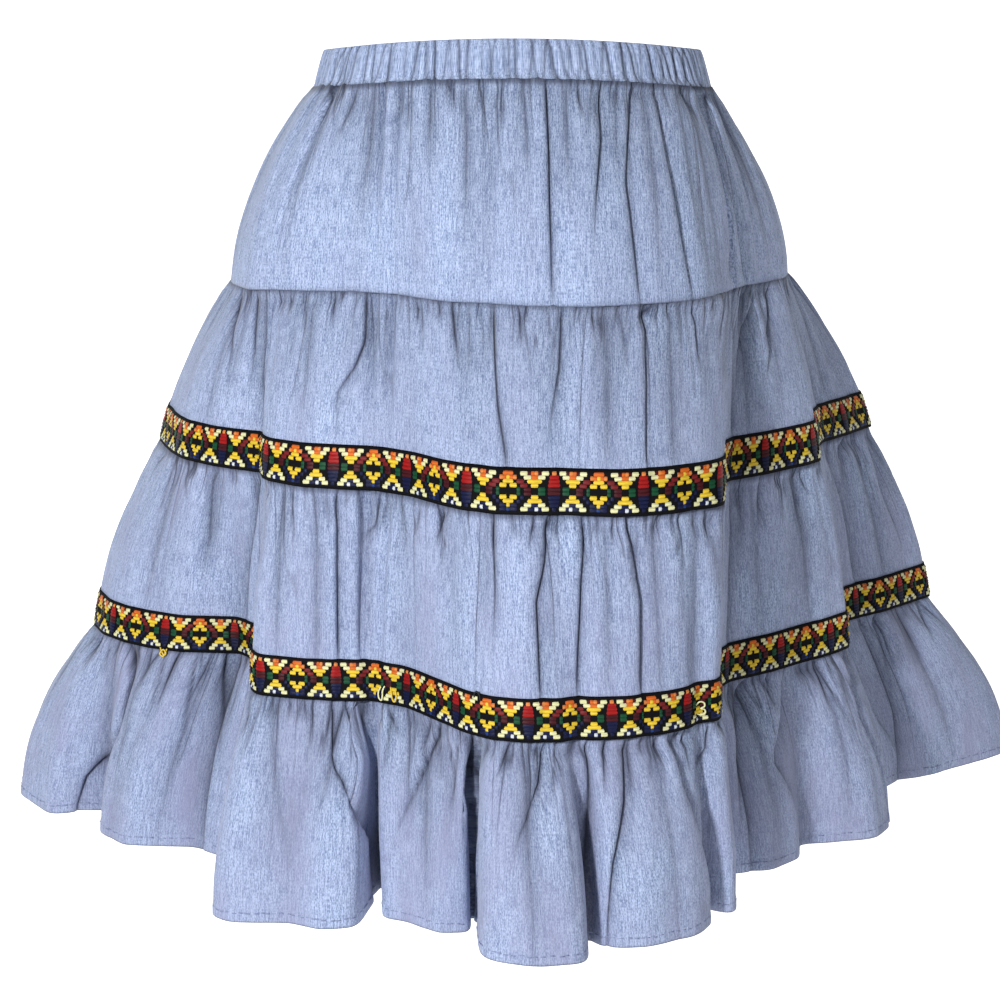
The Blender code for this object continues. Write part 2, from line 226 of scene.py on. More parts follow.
CREASES = {
    "yoke": {
        "folded": (
            ((8.3, 0), (8.7, 0.36), (9, 0.71), (9.3, 1.5)),
            ((21.4, 0), (20.7, 0.28), (18.9, 0.54), (17.3, 0.81)),
            ((28, 0), (27.2, 0.21), (26, 0.45), (28, 0.91), (29.3, 1.5)),
            ((35, 0), (36.9, 0.31), (39.7, 0.7), (41.8, 0.94), (44.2, 1.5)),
            ((56.7, 0), (64.9, 0.26), (67.4, 0.61), (69.3, 0.97), (70.7, 1.5)),
        ),
        "sharp": (
            ((-14.4, 0), (-14.7, 0.17)), ((-2.8, 0), (-3.1, 0.28)), ((16, 0), (16.5, 0.19)),
            ((46.6, 0), (52.7, 0.17)), ((72.2, 0), (76.9, 0.15), (77.1, 0.49)),
        ),
        "soft": (
            ((-45, 0), (-47.7, 0.17), (-49.9, 0.33)), ((-28.8, 0), (-29.1, 0.24)),
            ((61, 0.79), (59.1, 0.99)), ((-20.9, 0), (-21.2, 0.45)), ((2.5, 0), (3.7, 0.5)),
        ),
        "short": (
            ((-8.5, 0), (-7.2, 0.17)), ((24.9, 0), (24.9, 0.14)), ((38.3, 0), (39.7, 0.14)),
        ),
        "broad": (
            ((12.5, 0), (13, 0.7)), ((24.5, 0), (23.4, 0.6)), ((31.5, 0), (33.5, 1.1)),
            ((42, 0), (46, 0.9)), ((50, 0), (55, 1.2)), ((63, 0), (66, 0.7)), ((80, 0), (81, 1.1)),
            ((-38, 0), (-40, 0.8)), ((-56, 0), (-58, 0.7)), ((-11, 0), (-11.5, 0.9)),
        ),
    },
    "tier_2": {
        "left of a lobe": (((-54, 0), (-53, 0.25), (-52.6, 0.5), (-51.2, 0.75), (-50.5, 1.5)),),
        "right of a lobe": (
            ((33, 0), (38.5, 0.25), (42, 0.5), (43, 0.75), (42, 1.5)),
            ((74.5, 0), (77, 0.25), (81.3, 0.5), (83, 0.75), (82.5, 1.5)),
        ),
        "folded": (
            ((-29.1, 0), (-28.6, 0.25), (-30, 0.38), (-32.6, 0.5), (-32.8, 0.8)),
            ((-9.3, 0), (-9.1, 0.16), (-8.1, 0.38)),
            ((-2.7, 0), (-2.7, 0.3), (-2.1, 0.47), (-0.8, 0.7), (1.5, 1.5)),
            ((6.6, 0), (6.6, 0.3), (5.4, 0.55), (5.2, 0.74)),
            ((18.7, 0), (18.7, 0.39), (18.4, 0.74), (18.1, 1.5)),
            ((54.6, 0), (45.1, 0.34), (43.7, 0.61)),
        ),
        "sharp": (
            ((-69.6, 0), (-62.8, 0.33), (-60.9, 0.62)), ((-59.1, 0), (-55.9, 0.34), (-55.9, 0.61)),
            ((-36.3, 0), (-35.2, 0.2)),
            ((-17.6, 0), (-17.2, 0.15)), ((0.9, 0), (1.4, 0.23)), ((10.3, 0), (10.6, 0.14)),
            ((17.9, 0), (17.9, 0.14)), ((25.2, 0), (25.8, 0.12), (26.4, 0.39)),
            ((42.6, 0), (45.9, 0.34)), ((62.6, 0), (57.8, 0.28), (50.9, 0.61)),
        ),
        "short": (
            ((-49, 0), (-48.9, 0.15)), ((-46.2, 0), (-45.6, 0.14)), ((-43.2, 0), (-42.6, 0.12)),
            ((-14.6, 0), (-14.3, 0.09)), ((-12.3, 0), (-12.3, 0.1)), ((2.4, 0), (2.6, 0.09)),
            ((8.6, 0), (8.9, 0.09)), ((14.1, 0), (13.9, 0.1)), ((21.7, 0), (21.9, 0.09)),
        ),
        "broad": (
            ((12.5, 0), (12.8, 1.1)), ((22, 0), (22.4, 1.4)), ((47, 0), (48, 1.1)),
            ((60, 0), (57, 0.9)), ((87, 0), (88, 1.2)), ((-66, 0), (-64, 1.1)),
            ((-40, 0), (-39, 0.8)), ((-24, 0), (-24, 0.7)),
        ),
    },
    "tier_3": {
        "left of a lobe": (((-52, 0), (-54.7, 0.25), (-57.2, 0.5), (-58.2, 0.75), (-58, 1.5)),),
        "right of a lobe": (
            ((42.7, 0), (42.3, 0.25), (41.5, 0.5), (40.5, 0.75), (38.8, 1.5)),
            ((84.5, 0), (86.2, 0.3), (86.7, 0.75), (86, 1.5)),
        ),
        "folded": (
            ((-27.9, 0), (-28.2, 0.34), (-28.2, 0.72), (-28.2, 1.5)),
            ((-2.2, 0), (-1.9, 0.35), (-2.5, 0.69)),
            ((6.2, 0), (5.3, 0.2), (3.9, 0.38), (3.9, 0.74), (3.9, 1.5)),
            ((9.9, 0), (9.2, 0.38), (8.7, 0.61), (7.7, 1.5)),
            ((15.9, 0), (16.7, 0.15), (17.3, 0.38), (16.7, 0.71), (16, 1.5)),
            ((95.6, 0), (94.5, 0.35), (95, 0.59), (95, 0.75)),
        ),
        "sharp": (
            ((-23, 0), (-23.6, 0.17), (-25.9, 0.31)), ((-10.3, 0), (-12.1, 0.26)),
            ((4.1, 0), (3.1, 0.16)), ((14, 0), (13.5, 0.15)), ((20.2, 0), (19.4, 0.14)),
            ((26.5, 0), (26.9, 0.19)), ((50.9, 0), (48.9, 0.31)), ((57.5, 0), (56.2, 0.15)),
            ((61.7, 0), (63.3, 0.19)), ((90.1, 0), (87.2, 0.14)),
        ),
        "soft": (
            ((-65.9, 0), (-64.6, 0.39), (-64.8, 0.7)),
        ),
        "short": (
            ((-68.6, 0), (-68.4, 0.09)), ((-62.2, 0), (-62.2, 0.11)), ((-42.3, 0), (-42.3, 0.12)),
            ((-35.7, 0), (-36, 0.11)), ((-20.4, 0), (-20.8, 0.1)), ((0.8, 0), (1.1, 0.09)),
            ((11.8, 0), (11.8, 0.09)), ((23, 0), (23, 0.09)), ((54.2, 0), (53.8, 0.09)),
        ),
        "broad": (
            ((-38, 0), (-37.5, 1.1)), ((-31.5, 0), (-31.3, 1.5)), ((-25, 0), (-25.3, 1.3)),
            ((-71, 0), (-71, 1.1)), ((12.5, 0), (12, 1.1)), ((19.5, 0), (19.3, 1.5)),
            ((25, 0), (24.5, 1.2)), ((48, 0), (48.5, 1.1)), ((60, 0), (61, 1.2)),
            ((91, 0), (91.5, 1.4)),
        ),
    },
    "ruffle": {
        "left of a lobe": (((-60, 0), (-60.3, 0.3), (-59.5, 0.75), (-58.5, 1.5)),),
        "right of a lobe": (
            ((41, 0), (40, 0.25), (39, 0.5), (38.4, 1.5)),
            ((86.5, 0), (86.6, 0.6), (85, 1), (84, 1.5)),
        ),
        "folded": (
            ((-72.8, 0), (-71.2, 0.16), (-71.2, 0.46), (-75.1, 0.79), (-75.7, 0.96), (-76.7, 1.5)),
            ((-62, 0), (-59.9, 0.38), (-56.8, 0.59)),
            ((-29.1, 0), (-28.2, 0.25), (-25.7, 0.38), (-24.4, 0.65), (-24, 1.5)),
            ((-27.3, 0), (-25.3, 0.12), (-25.5, 0.29)),
            ((-10.3, 0), (-12.4, 0.15), (-16.8, 0.47), (-20.4, 0.7)),
            ((-5.6, 0), (-4.3, 0.33), (-4, 0.6), (-4, 1.5)),
            ((0.1, 0), (-1.2, 0.14), (-2.4, 0.2)), ((4.4, 0), (3.4, 0.21), (0.8, 0.4), (-0.2, 0.6)),
            ((9.7, 0), (8.3, 0.4), (7.6, 1), (7.6, 1.5)),
            ((14.3, 0), (13.2, 0.3), (11.2, 0.6), (10.2, 0.88), (9.1, 1.5)),
            ((20.5, 0), (21, 0.26), (22.5, 0.56), (23.8, 0.9), (24.5, 1.5)),
            ((55.2, 0), (52.7, 0.2), (47.4, 0.45), (55.2, 0.93)),
            ((68.2, 0), (65.8, 0.35), (67.2, 0.62), (69.5, 1.5)),
            ((81, 0), (82.5, 0.56), (87, 0.95)),
        ),
        "sharp": (
            ((-78.8, 0), (-79.4, 0.16)), ((-68.2, 0), (-69.7, 0.2)), ((-65.9, 0), (-66, 0.2)),
            ((-33.3, 0), (-32.6, 0.1)), ((-20.4, 0), (-17.9, 0.15)), ((-15.8, 0), (-15.8, 0.11)),
            ((-12.4, 0), (-14.5, 0.21)), ((-2.4, 0), (-2.5, 0.1)), ((7.9, 0), (7.7, 0.12)),
            ((12.1, 0), (11.5, 0.12), (10.7, 0.3)), ((16.5, 0), (15.9, 0.11)),
            ((18.9, 0), (17.3, 0.16)),
            ((23.3, 0), (22.4, 0.11)), ((26.7, 0), (26, 0.16), (22.2, 0.31)),
            ((44.5, 0), (38.9, 0.39), (36.7, 0.88)), ((47, 0), (39.6, 0.23)),
            ((58.7, 0), (58.5, 0.12)),
            ((61.4, 0), (60.2, 0.3)), ((89.5, 0), (88.2, 0.15)), ((96.3, 0), (94.5, 0.24)),
        ),
        "short": (
            ((-64.2, 0), (-63.8, 0.1)), ((-38, 0), (-38, 0.09)), ((-35.4, 0), (-35.1, 0.09)),
            ((2.6, 0), (2.4, 0.09)), ((6.2, 0), (6, 0.11)), ((50.5, 0), (49.3, 0.09)),
        ),
        "broad": (
            ((-70, 0), (-68, 1.1)), ((-63, 0), (-64, 1.2)), ((-38, 0), (-33, 0.9)),
            ((-14, 0), (-12.5, 1.1)), ((1.2, 0), (2.4, 1.4)), ((6.2, 0), (5.2, 1.1)),
            ((17.5, 0), (17.8, 1.4)), ((45, 0), (44, 1.1)), ((61, 0), (60, 1.1)),
            ((92, 0), (93, 1.2)),
        ),
    },
}

# How unevenly deep the main creases are, the deepest that cloth is pressed in, and how much of
# the mean depth is given back as fullness between the creases
CREASE_UNEVEN = (0.75, 1.2)
DEEPEST_PRESS = 0.014
GIVEN_BACK = 0.75

# A crease's form: a sharp floor with its share of the depth, on soft shoulders that reach
# further; the area of one of depth 1 for each metre of width; and how it widens on its way down
FLOOR_SHARE = 0.64
FLOOR_SHARPNESS = 1.25
SHOULDER_REACH = 3
SHOULDER_SHARPNESS = 1.6
TROUGH_AREA = 1.56
WIDENED = 0.6
FELT_WITHIN = 9

# The levels, as shares of a tier, at which its mean pressed depth is worked out
LEVELS = (-0.05, 1.05, 56)

# Narrow creases are pinched shut, and a crease with one steep side leans to that side
PINCH = 0.35
PINCH_WIDTHS = (0.0030, 0.0075)
PINCH_REACH = 1.7
LEAN = 0.5

# Creases stand in at a seam with part of their depth, and fade out at their lower ends; the
# cloth above a ribbon is held flat over this share of the tier, by this much
SEAM_DEPTH = 0.4
SEAM_RUN = 0.06
ENTRY_RUN = 0.10
FADES_FROM = 0.35
HELD_RUN = 0.10
HELD_SHARE = 0.75

# A tier's top edge is tucked behind the piece above: how far up as a share of the tier, how soon
# its creases end there, how it steps and leans inwards, and how dark the shade painted on it is
TUCK = -0.06
TUCKED_FLAT = 0.035
TUCK_LEAN = {"yoke": 0.36, "tier_2": 0.14, "tier_3": 0.40, "ruffle": 0.18}
TUCK_STEP = 0.0024
TUCK_STEP_OVER = 0.0016
TUCK_SHADE = 0.8

# How much closer the mesh's columns stand along a main crease of the front and of the back,
# within what distance, and how its rows crowd at the top of a tier and at both ends of the ruffle
FRONT_COLUMNS = 4.4
BACK_COLUMNS = 1.2
CLOSE_WITHIN = 0.0026
ROWS_CROWD = 1.25
RUFFLE_ROWS_CROWD = 0.6

# The sizes of the cloth's broad and fine unevenness, which is longer down the cloth
BROAD_SIZE = 0.045
BROAD_DRAWN_OUT = 0.5
FINE_SIZE = 0.013
FINE_DRAWN_OUT = 0.4
FINE_SHARE = 0.35

# The angle that a crease of the front gets when it is mirrored at the back
BACK_MIRROR = 190
BACK_NARROWED = 0.88

# Shade painted into the cloth's colour where light doesn't reach: at the floor of a crease, which
# is fully dark from one depth on, in the valleys between the big folds, and right under a seam
CREASE_SHADE = 0.95
CORE_WIDTH = 0.10
CORE_SHARPNESS = 1.5
SHADE_CORE = 0.0006
SIDES_WIDTH = 0.5
SIDES_SHARPNESS = 1.2
SHADE_SIDES = 0.0012
LINE_SHARE = 0.52
SOFT_FROM = 0.0075
SOFT_OVER = 0.004
FULL_SHADE_DEPTH = 0.0035
FULL_SHADE_WIDTH = 0.0048
VALLEYS = ((0.016, 0.010, 0.66), (0.045, 0.030, 0.28))
SEAM_SHADE = 0.50
SEAM_SHADE_REACH = 0.0012

# The waistband's ribs across the front, from the left: how far right of the middle each is
# at the top and at the bottom, its depth and its width, in millimetres
Rib = namedtuple("Rib", "top_mm bottom_mm depth_mm width_mm")
WAIST_RIBS = [Rib(*row) for row in (
    (-125, -132, 2.4, 1.4), (-120, -125, 2.2, 1.3), (-113, -120, 1.6, 1.4), (-88, -87, 2.3, 1.3),
    (-77, -73, 1.0, 1.6), (-69, -66, 1.0, 1.6), (-62, -57, 1.3, 1.5), (-56, -54, 1.4, 1.4),
    (-46, -40, 1.3, 1.5), (-31, -30, 1.1, 1.8), (-17, -13, 1.5, 1.4), (-7, -3, 1.1, 1.6),
    (3, 4, 1.1, 1.6), (13, 18, 1.8, 1.4), (25, 29, 1.3, 1.6), (32, 40, 1.5, 1.5),
    (38, 45, 1.2, 1.4), (46, 52, 1.1, 1.6), (57, 59, 1.0, 1.8), (66, 71, 1.5, 1.5),
    (79, 80, 2.3, 1.4), (86, 90, 1.6, 1.5), (98, 101, 2.5, 1.5), (105, 109, 1.4, 1.3),
    (110, 114, 1.8, 1.3), (116, 120, 2.0, 1.3), (122, 127, 2.5, 1.3), (130, 136, 2.6, 1.3),
)]
HIDDEN_RIB_APART = 0.0085
WAIST_COLUMNS = 1040
WAIST_ROWS = 28
WAIST_CUT_WIDTH = 1.04
WAIST_CASING_CUT = 0.056
WAIST_PUCKERS = 150
PUCKER_ASTRAY = (-0.4, 0.4)
PUCKER_DEPTH_MM = (0.2, 0.9)
PUCKER_WIDTH = 0.0010
# PUCKER_SHADE, RIB_SHADE and BAND_SEAM_SHADE are painted shade: how dark the colour is made in the
# puckers, along the ribs and along the band's seam
PUCKER_SHADE = 0.75
RIB_ONE_SIDED = 1.3
RIB_SHADE = 0.92
RIB_FULL_SHADE = 0.0026
RIB_SHADE_WIDTH = 0.0004
BAND_SEAM_SHADE = 0.80
BAND_SEAM_RUN = 0.05
BAND_CRUMPLE = 0.0005
CASING_DEPTH = 0.0034
CASING_SQUARE = 0.5
CASING_FLAT = 0.6

# The chambray's marks: how many there are in a metre across and along the cloth, and the detail
# of their noise
Marks = namedtuple("Marks", "across along detail")
STREAKS = Marks(1150, 100, 2.0)
HAIRS = Marks(1900, 500, 1.0)
SLUBS = Marks(420, 30, 3.0)
WEFT = Marks(120, 1700, 1.0)
BROAD_PLACES = Marks(26, 10, 3.0)
PALE_SHARE = 0.48
THREAD_RELIEF = 0.0005

# The lilac cast: its mean share of the cloth, and how it grows from the waist down
LILAC_SHARE = 0.45
LILAC_AT_WAIST = 0.22
LILAC_BY_DEPTH = 1.3

# The finest gathers, drawn as thin lines of painted shade with their slopes in the bump: how many
# in a metre across and along the cloth, how thin their lines are and how soon they end. Seams and
# edges get a thin line of painted shade, thinner for more
DrawnGathers = namedtuple("DrawnGathers", "across along narrowness shortness")
SHORT_GATHERS = DrawnGathers(85, 9, 20, 42)
LONG_GATHERS = DrawnGathers(34, 3.2, 52, 11)
SEAM_LINE = 260
EDGE_LINE = 900

# One half of the ribbon's repeat, from the middle of the spindle to the middle of the
# diamond: a letter for each float of thread. The other half is its mirror
RIBBON_CHART = (
    "SKCCDSODCCKKOO",
    "RRKCCOOCCKKSOY",
    "RRKKYYYYKPPKYY",
    "RRKKKYYKPPKYYK",
    "DDKGGKKDDKGKKK",
    "DDKGGKKDDKGKKK",
    "NNKKKYYKKNKYYK",
    "NNKKYYYYKKNKYY",
    "NNKCCNNCCKKNNY",
    "NKCCNWNNCCKNNB",
)
LONGEST_FLOAT = 4
FLOAT_SWELL = 1.06
FLOAT_FULLNESS = 1.16
SPINDLE_SWELL = (1.3, 0.92, 1.08, 1.18, 1.25, 1.25, 1.18, 1.06, 0.90, 1.2)
RIBBON_EDGE = 0.0023
RIBBON_LIFT = 0.0004
RIBBON_GRID = (1000, 12)
SELVEDGE = 0.00035
FLOATS_LIFT = 0.0001
FLOAT_SEGMENTS = (4, 2)
# The share of its colour that a float keeps at its edges, under painted shade
FLOAT_EDGE_SHADE = 0.60

# For each ribbon: how often its pattern repeats, and the angle of one spindle's middle
Repeat = namedtuple("Repeat", "count spindle_deg")
REPEATS = {"upper": Repeat(29, 5.8), "lower": Repeat(37, 2.1)}

# The linear colours of the ribbon's threads
THREADS = {
    "C": (0.95, 0.93, 0.52), "Y": (1.0, 0.70, 0.05), "O": (0.85, 0.17, 0.02),
    "S": (0.90, 0.29, 0.07), "R": (0.44, 0.008, 0.008), "P": (0.22, 0.014, 0.016),
    "D": (0.070, 0.005, 0.010), "G": (0.006, 0.085, 0.034), "N": (0.004, 0.008, 0.055),
    "B": (0.015, 0.05, 0.22), "W": (0.85, 0.90, 0.98),
}

# The hem is turned up narrowly and held by a row of stitches
HEM_TURNED_UP = 0.0070
HEM_STEP = 0.0005
HEM_STEP_RUN = 0.008
STITCHES_APART = 0.0046
STITCH = (0.0028, 0.0005, 0.0004)
STITCHES_ABOVE_EDGE = 0.0060
STITCH_WANDER = (0.0011, 0.0005, 0.0004)

# Threads that have come loose on the lower ribbon: the angle of each, its colour, and its
# run in millimetres along the ribbon, up from its lower edge and out from its face
LooseThread = namedtuple("LooseThread", "degrees colour run_mm")
LOOSE_THREADS = [LooseThread(*row) for row in (
    (-20.6, "C", ((-4, 11, 0.6), (-5, 8, 2.2), (-4.5, 4, 2.6), (-2.5, 2.5, 2.4), (-1.6, 5, 2.6),
                  (-1.8, 9, 2.0), (-1, 12, 0.6))),
    (-19.6, "Y", ((-1, 12, 0.6), (0.5, 9, 2.2), (1.5, 5, 2.6), (3.2, 3, 2.6), (4.4, 6, 2.2),
                  (3.6, 9.5, 1.8), (2.4, 11, 0.6))),
    (25.0, "C", ((-4, 13, 0.6), (-1, 15, 1.8), (2.4, 14, 2.2), (2.6, 11.5, 2.2), (-0.4, 10.6, 2.2),
                 (2.8, 9.4, 2.2), (3.2, 7, 2.0), (0, 6, 1.4), (-3, 7, 0.6))),
    (-68.0, "Y", ((-3, 1.5, 0.6), (-1, -1.0, 1.8), (1.5, -3.5, 2.2), (3, -1.5, 2.4),
                  (0.5, 0.8, 2.4), (-2, -2.6, 2.6), (1, -4.2, 2.2), (2.6, 1.0, 0.6))),
    (-4.0, "K", ((-3, 24, 0.6), (-1.6, 28, 2.0), (0.6, 29.5, 2.4), (2.2, 27.5, 2.0),
                 (1.6, 24, 0.6))),
)]
LOOSE_RADIUS = 0.00055
BLACK_THREAD = (0.006, 0.006, 0.008)
HEM_THREAD = (0.30, 0.35, 0.56)


# The backdrop: its width, where its floor starts and how far it runs, the radius of its bend and
# how far it rises; and from how far behind the skirt it glows, so that it is white in the view
BACKDROP_WIDTH = 12
BACKDROP_START = -3
BACKDROP_RUN = 5.0
BACKDROP_BEND = 1.2
BACKDROP_RISE = 3.5
BACKDROP_ROWS = 24
PAPER = (0.85, 0.85, 0.85, 1)
GLOWS_FROM = 0.08
GLOW_GAIN = 4.0
GLOW = 0.9

# The lamps: place, what each points at, its diameter and its power in watts
WORLD_LIGHT = 0.13
Lamp = namedtuple("Lamp", "name place aim size power")
LAMPS = (Lamp("key", (-0.86, -1.78, 0.40), (0, 0, -0.27), 0.22, 37.5),
         Lamp("fill", (1.4, -2.0, 0.1), (0, 0, -0.3), 1.0, 12))


class SkirtSizes(bpy.types.PropertyGroup):
    """Sizes of the cloth and its finish."""

    cloth: bpy.props.FloatProperty(
        name="Cloth", description="Thickness of the chambray", default=0.0007, unit="LENGTH")
    ribbon: bpy.props.FloatProperty(
        name="Ribbon", description="Thickness of the ribbon", default=0.0006, unit="LENGTH")
    float_height: bpy.props.FloatProperty(
        name="Floats", description="How far the coloured threads stand off the ribbon",
        default=0.0009, unit="LENGTH")
    gathers: bpy.props.FloatProperty(
        name="Gathers", description="Share of the gathers' and creases' full depth",
        default=1.0, min=0.0, max=2.0, subtype="FACTOR")
    crumple: bpy.props.FloatProperty(
        name="Crumple", description="Height of the cloth's slight unevenness",
        default=0.0014, unit="LENGTH")


class SkirtColours(bpy.types.PropertyGroup):
    """Colours of the threads, and the colour that painted shade darkens the cloth towards, as
    linear values.
    """

    pale_thread: bpy.props.FloatVectorProperty(
        name="Pale thread", description="The light thread of the chambray",
        default=(0.56, 0.67, 0.92), size=3, min=0, max=1, subtype="COLOR")
    blue_thread: bpy.props.FloatVectorProperty(
        name="Blue thread", description="The blue thread of the chambray",
        default=(0.13, 0.19, 0.35), size=3, min=0, max=1, subtype="COLOR")
    lilac_cast: bpy.props.FloatVectorProperty(
        name="Lilac cast", description="The greyer lilac that the cloth has in places",
        default=(0.31, 0.32, 0.49), size=3, min=0, max=1, subtype="COLOR")
    # Painted shade: the dark colour that the chambray is mixed towards in folds, gathers, tucks and
    # along seams and edges
    painted_shade_colour: bpy.props.FloatVectorProperty(
        name="Deep fold", description="The cloth at the floor of a deep fold",
        default=(0.012, 0.014, 0.030), size=3, min=0, max=1, subtype="COLOR")
    ribbon_ground: bpy.props.FloatVectorProperty(
        name="Ribbon ground", description="The black ground of the ribbons",
        default=(0.0025, 0.0025, 0.003), size=3, min=0, max=1, subtype="COLOR")


class StageSettings(bpy.types.PropertyGroup):
    """The camera and the floor."""

    distance: bpy.props.FloatProperty(
        name="Distance", description="From the camera to the skirt's axis", default=1.50,
        unit="LENGTH")
    height: bpy.props.FloatProperty(
        name="Height", description="Of the camera above the waistband's middle",
        default=0.0215, unit="LENGTH")
    pitch: bpy.props.FloatProperty(
        name="Pitch", description="How far the camera looks down",
        default=math.radians(13), subtype="ANGLE")
    yaw: bpy.props.FloatProperty(
        name="Yaw", description="How far the camera turns to the left",
        default=math.radians(0.344), subtype="ANGLE")
    lens: bpy.props.FloatProperty(
        name="Lens", description="Focal length for a 36 mm sensor", default=72.0)
    floor: bpy.props.FloatProperty(
        name="Floor", description="Height of the floor", default=-0.95, unit="LENGTH")


def polar(degrees, radius):
    """Points of the plan from angles round the axis and distances from it."""
    turn = np.radians(degrees)
    return np.stack([radius * np.sin(turn), -radius * np.cos(turn)], axis=-1)


def back_folds():
    """Rows for the hidden back, whose ridges and valleys take turns."""
    rows = []
    for k in range(BACK_FOLDS):
        share = k / (BACK_FOLDS - 1)
        degrees = BACK_START_DEG + share * (BACK_END_DEG - BACK_START_DEG)
        degrees += BACK_WANDER_DEG * math.sin(BACK_WANDER_BEAT * k)
        uneven = 1 + BACK_UNEVEN * math.sin(BACK_UNEVEN_BEAT * k)
        sideways = math.cos(math.pi * share) ** 2
        sizes = []
        for ridge, depth, wider in zip(BACK_RIDGE_MM, BACK_DEPTH_MM, BACK_SIDE_MM):
            sizes.append(ridge + wider * sideways - (depth * uneven if k % 2 else 0))
        rows.append(Fold("back", degrees, sizes[0], degrees, sizes[1], degrees, sizes[2]))
    return rows


def soften(points, spacing):
    """Round the corners of a closed curve over about FOLD_ROUNDING."""
    reach = int(4 * FOLD_ROUNDING / spacing)
    steps = np.arange(-reach, reach + 1)
    weights = np.exp(-0.5 * (steps * spacing / FOLD_ROUNDING) ** 2)
    weights /= weights.sum()
    return sum(w * np.roll(points, step, axis=0) for w, step in zip(weights, steps))


def plan_curves():
    """The plan curve of every level, all at the same PLAN_PLACES lines down the skirt."""
    folds = FRONT_FOLDS + back_folds()
    corners = {
        "upper": polar([f.upper_deg for f in folds], np.array([f.upper_mm for f in folds]) * MM),
        "lower": polar([f.lower_deg for f in folds], np.array([f.lower_mm for f in folds]) * MM),
        "hem": polar([f.hem_deg for f in folds], np.array([f.hem_mm for f in folds]) * MM),
    }
    edges = [np.roll(c, -1, axis=0) - c for c in corners.values()]
    lengths = sum(np.linalg.norm(edge, axis=1) for edge in edges) / len(edges)
    ends = np.concatenate([[0], np.cumsum(lengths)])
    girth = ends[-1]
    places = np.linspace(0, girth, PLAN_PLACES, endpoint=False)
    curves = {}
    for level, points in corners.items():
        line = np.stack([np.interp(places, ends[:-1], axis, period=girth) for axis in points.T], -1)
        curves[level] = soften(line, girth / PLAN_PLACES)

    upper_deg = np.interp(places, ends, [f.upper_deg for f in folds] + [folds[0].upper_deg + 360])
    path = {name: [getattr(p, name) for p in YOKE_PATHS] for name in Path._fields}
    shift = {name: np.subtract(path[name], path["upper_deg"]) for name in ("yoke_deg", "waist_deg")}

    def along(values):
        return np.interp(upper_deg, path["upper_deg"], values, period=360)

    yoke = polar(upper_deg + along(shift["yoke_deg"]), along(path["yoke_mm"]) * MM)
    waist_deg = np.radians(upper_deg + along(shift["waist_deg"]))
    waist_radius = 1 / np.hypot(np.sin(waist_deg) / WAIST_HALF_WIDTH,
                                np.cos(waist_deg) / WAIST_HALF_DEPTH)
    curves["yoke"] = soften(yoke, girth / PLAN_PLACES)
    curves["waist"] = soften(polar(np.degrees(waist_deg), waist_radius), girth / PLAN_PLACES)
    rise = soften(along(path["rise_mm"])[:, None] * MM, girth / PLAN_PLACES)[:, 0]
    return curves, rise


CURVES, YOKE_RISE = plan_curves()
WAIST_RISE = WAIST_FRONT_RISE * np.clip(-CURVES["waist"][:, 1] / WAIST_HALF_DEPTH, 0, 1) ** 2
EDGE_RISE = {"waist": WAIST_RISE, "yoke": YOKE_RISE}


def even_places(curve, shares):
    """Places at even shares of the way round a plan curve."""
    steps = np.linalg.norm(np.roll(curve, -1, axis=0) - curve, axis=1)
    ends = np.concatenate([[0], np.cumsum(steps)])
    return np.interp(np.mod(shares, 1) * ends[-1], ends, np.arange(len(curve) + 1))


def girth_of(curve):
    return np.linalg.norm(np.roll(curve, -1, axis=0) - curve, axis=1).sum()


def pick(values, places):
    """Values of a closed curve read at fractional places."""
    index = np.arange(len(values))
    if values.ndim == 1:
        return np.interp(places, index, values, period=len(values))
    return np.stack([np.interp(places, index, axis, period=len(values)) for axis in values.T], -1)


def place_of(line, degrees):
    """The place on a level's plan curve that lies at an angle round the axis."""
    angles = np.degrees(np.arctan2(CURVES[line][:, 0], -CURVES[line][:, 1]))
    return int(np.argmin(np.abs((angles - degrees + 180) % 360 - 180)))


def trough(distance, left, right):
    """A crease of depth 1 with a sharp floor between soft shoulders; its sides may differ."""
    away = np.abs(distance / np.where(distance < 0, left, right))
    shoulders = (1 - FLOOR_SHARE) * np.exp(-(away / SHOULDER_REACH) ** SHOULDER_SHARPNESS)
    return FLOOR_SHARE * np.exp(-away ** FLOOR_SHARPNESS) + shoulders


def crease_shade(away, width, broad):
    """How dark the shade painted near a crease is: a thin dark line in a softer shade, and only the
    shade where the crease is broad."""
    core = np.exp(-np.abs(away / (CORE_WIDTH * width + SHADE_CORE)) ** CORE_SHARPNESS)
    sides = np.exp(-np.abs(away / (SIDES_WIDTH * width + SHADE_SIDES)) ** SIDES_SHARPNESS)
    line = LINE_SHARE * min(max((SOFT_FROM - broad) / SOFT_OVER, 0), 1)
    return min(FULL_SHADE_WIDTH / broad, 1) ** 2 * (line * core + (1 - line) * sides)


def fade(down, start, end):
    """The share of a crease's depth that is there, at shares of the way down."""
    t = np.clip(((down - start) / (end - start) - FADES_FROM) / (1 - FADES_FROM), 0, 1)
    if start > 0:
        entry = np.clip((down - start) / ENTRY_RUN, 0, 1)
    else:
        entry = SEAM_DEPTH + (1 - SEAM_DEPTH) * np.clip(down / SEAM_RUN, 0, 1)
    return (1 - t * t * (3 - 2 * t)) * entry


def valleys_of(curve):
    """The shade painted at each place of a plan curve for lying between bigger folds."""
    slope = (np.roll(curve, -1, axis=0) - np.roll(curve, 1, axis=0)) / 2
    normal = np.stack([slope[:, 1], -slope[:, 0]], -1) / np.linalg.norm(slope, axis=1)[:, None]
    light = np.ones(len(curve))
    for reach, full_depth, dark in VALLEYS:
        count = int(reach / girth_of(curve) * len(curve))
        around = sum(np.roll(curve, step, axis=0) for step in range(-count, count + 1))
        sunk = ((around / (2 * count + 1) - curve) * normal).sum(axis=1)
        light *= 1 - dark * np.clip(sunk / full_depth, 0, 1)
    return 1 - light


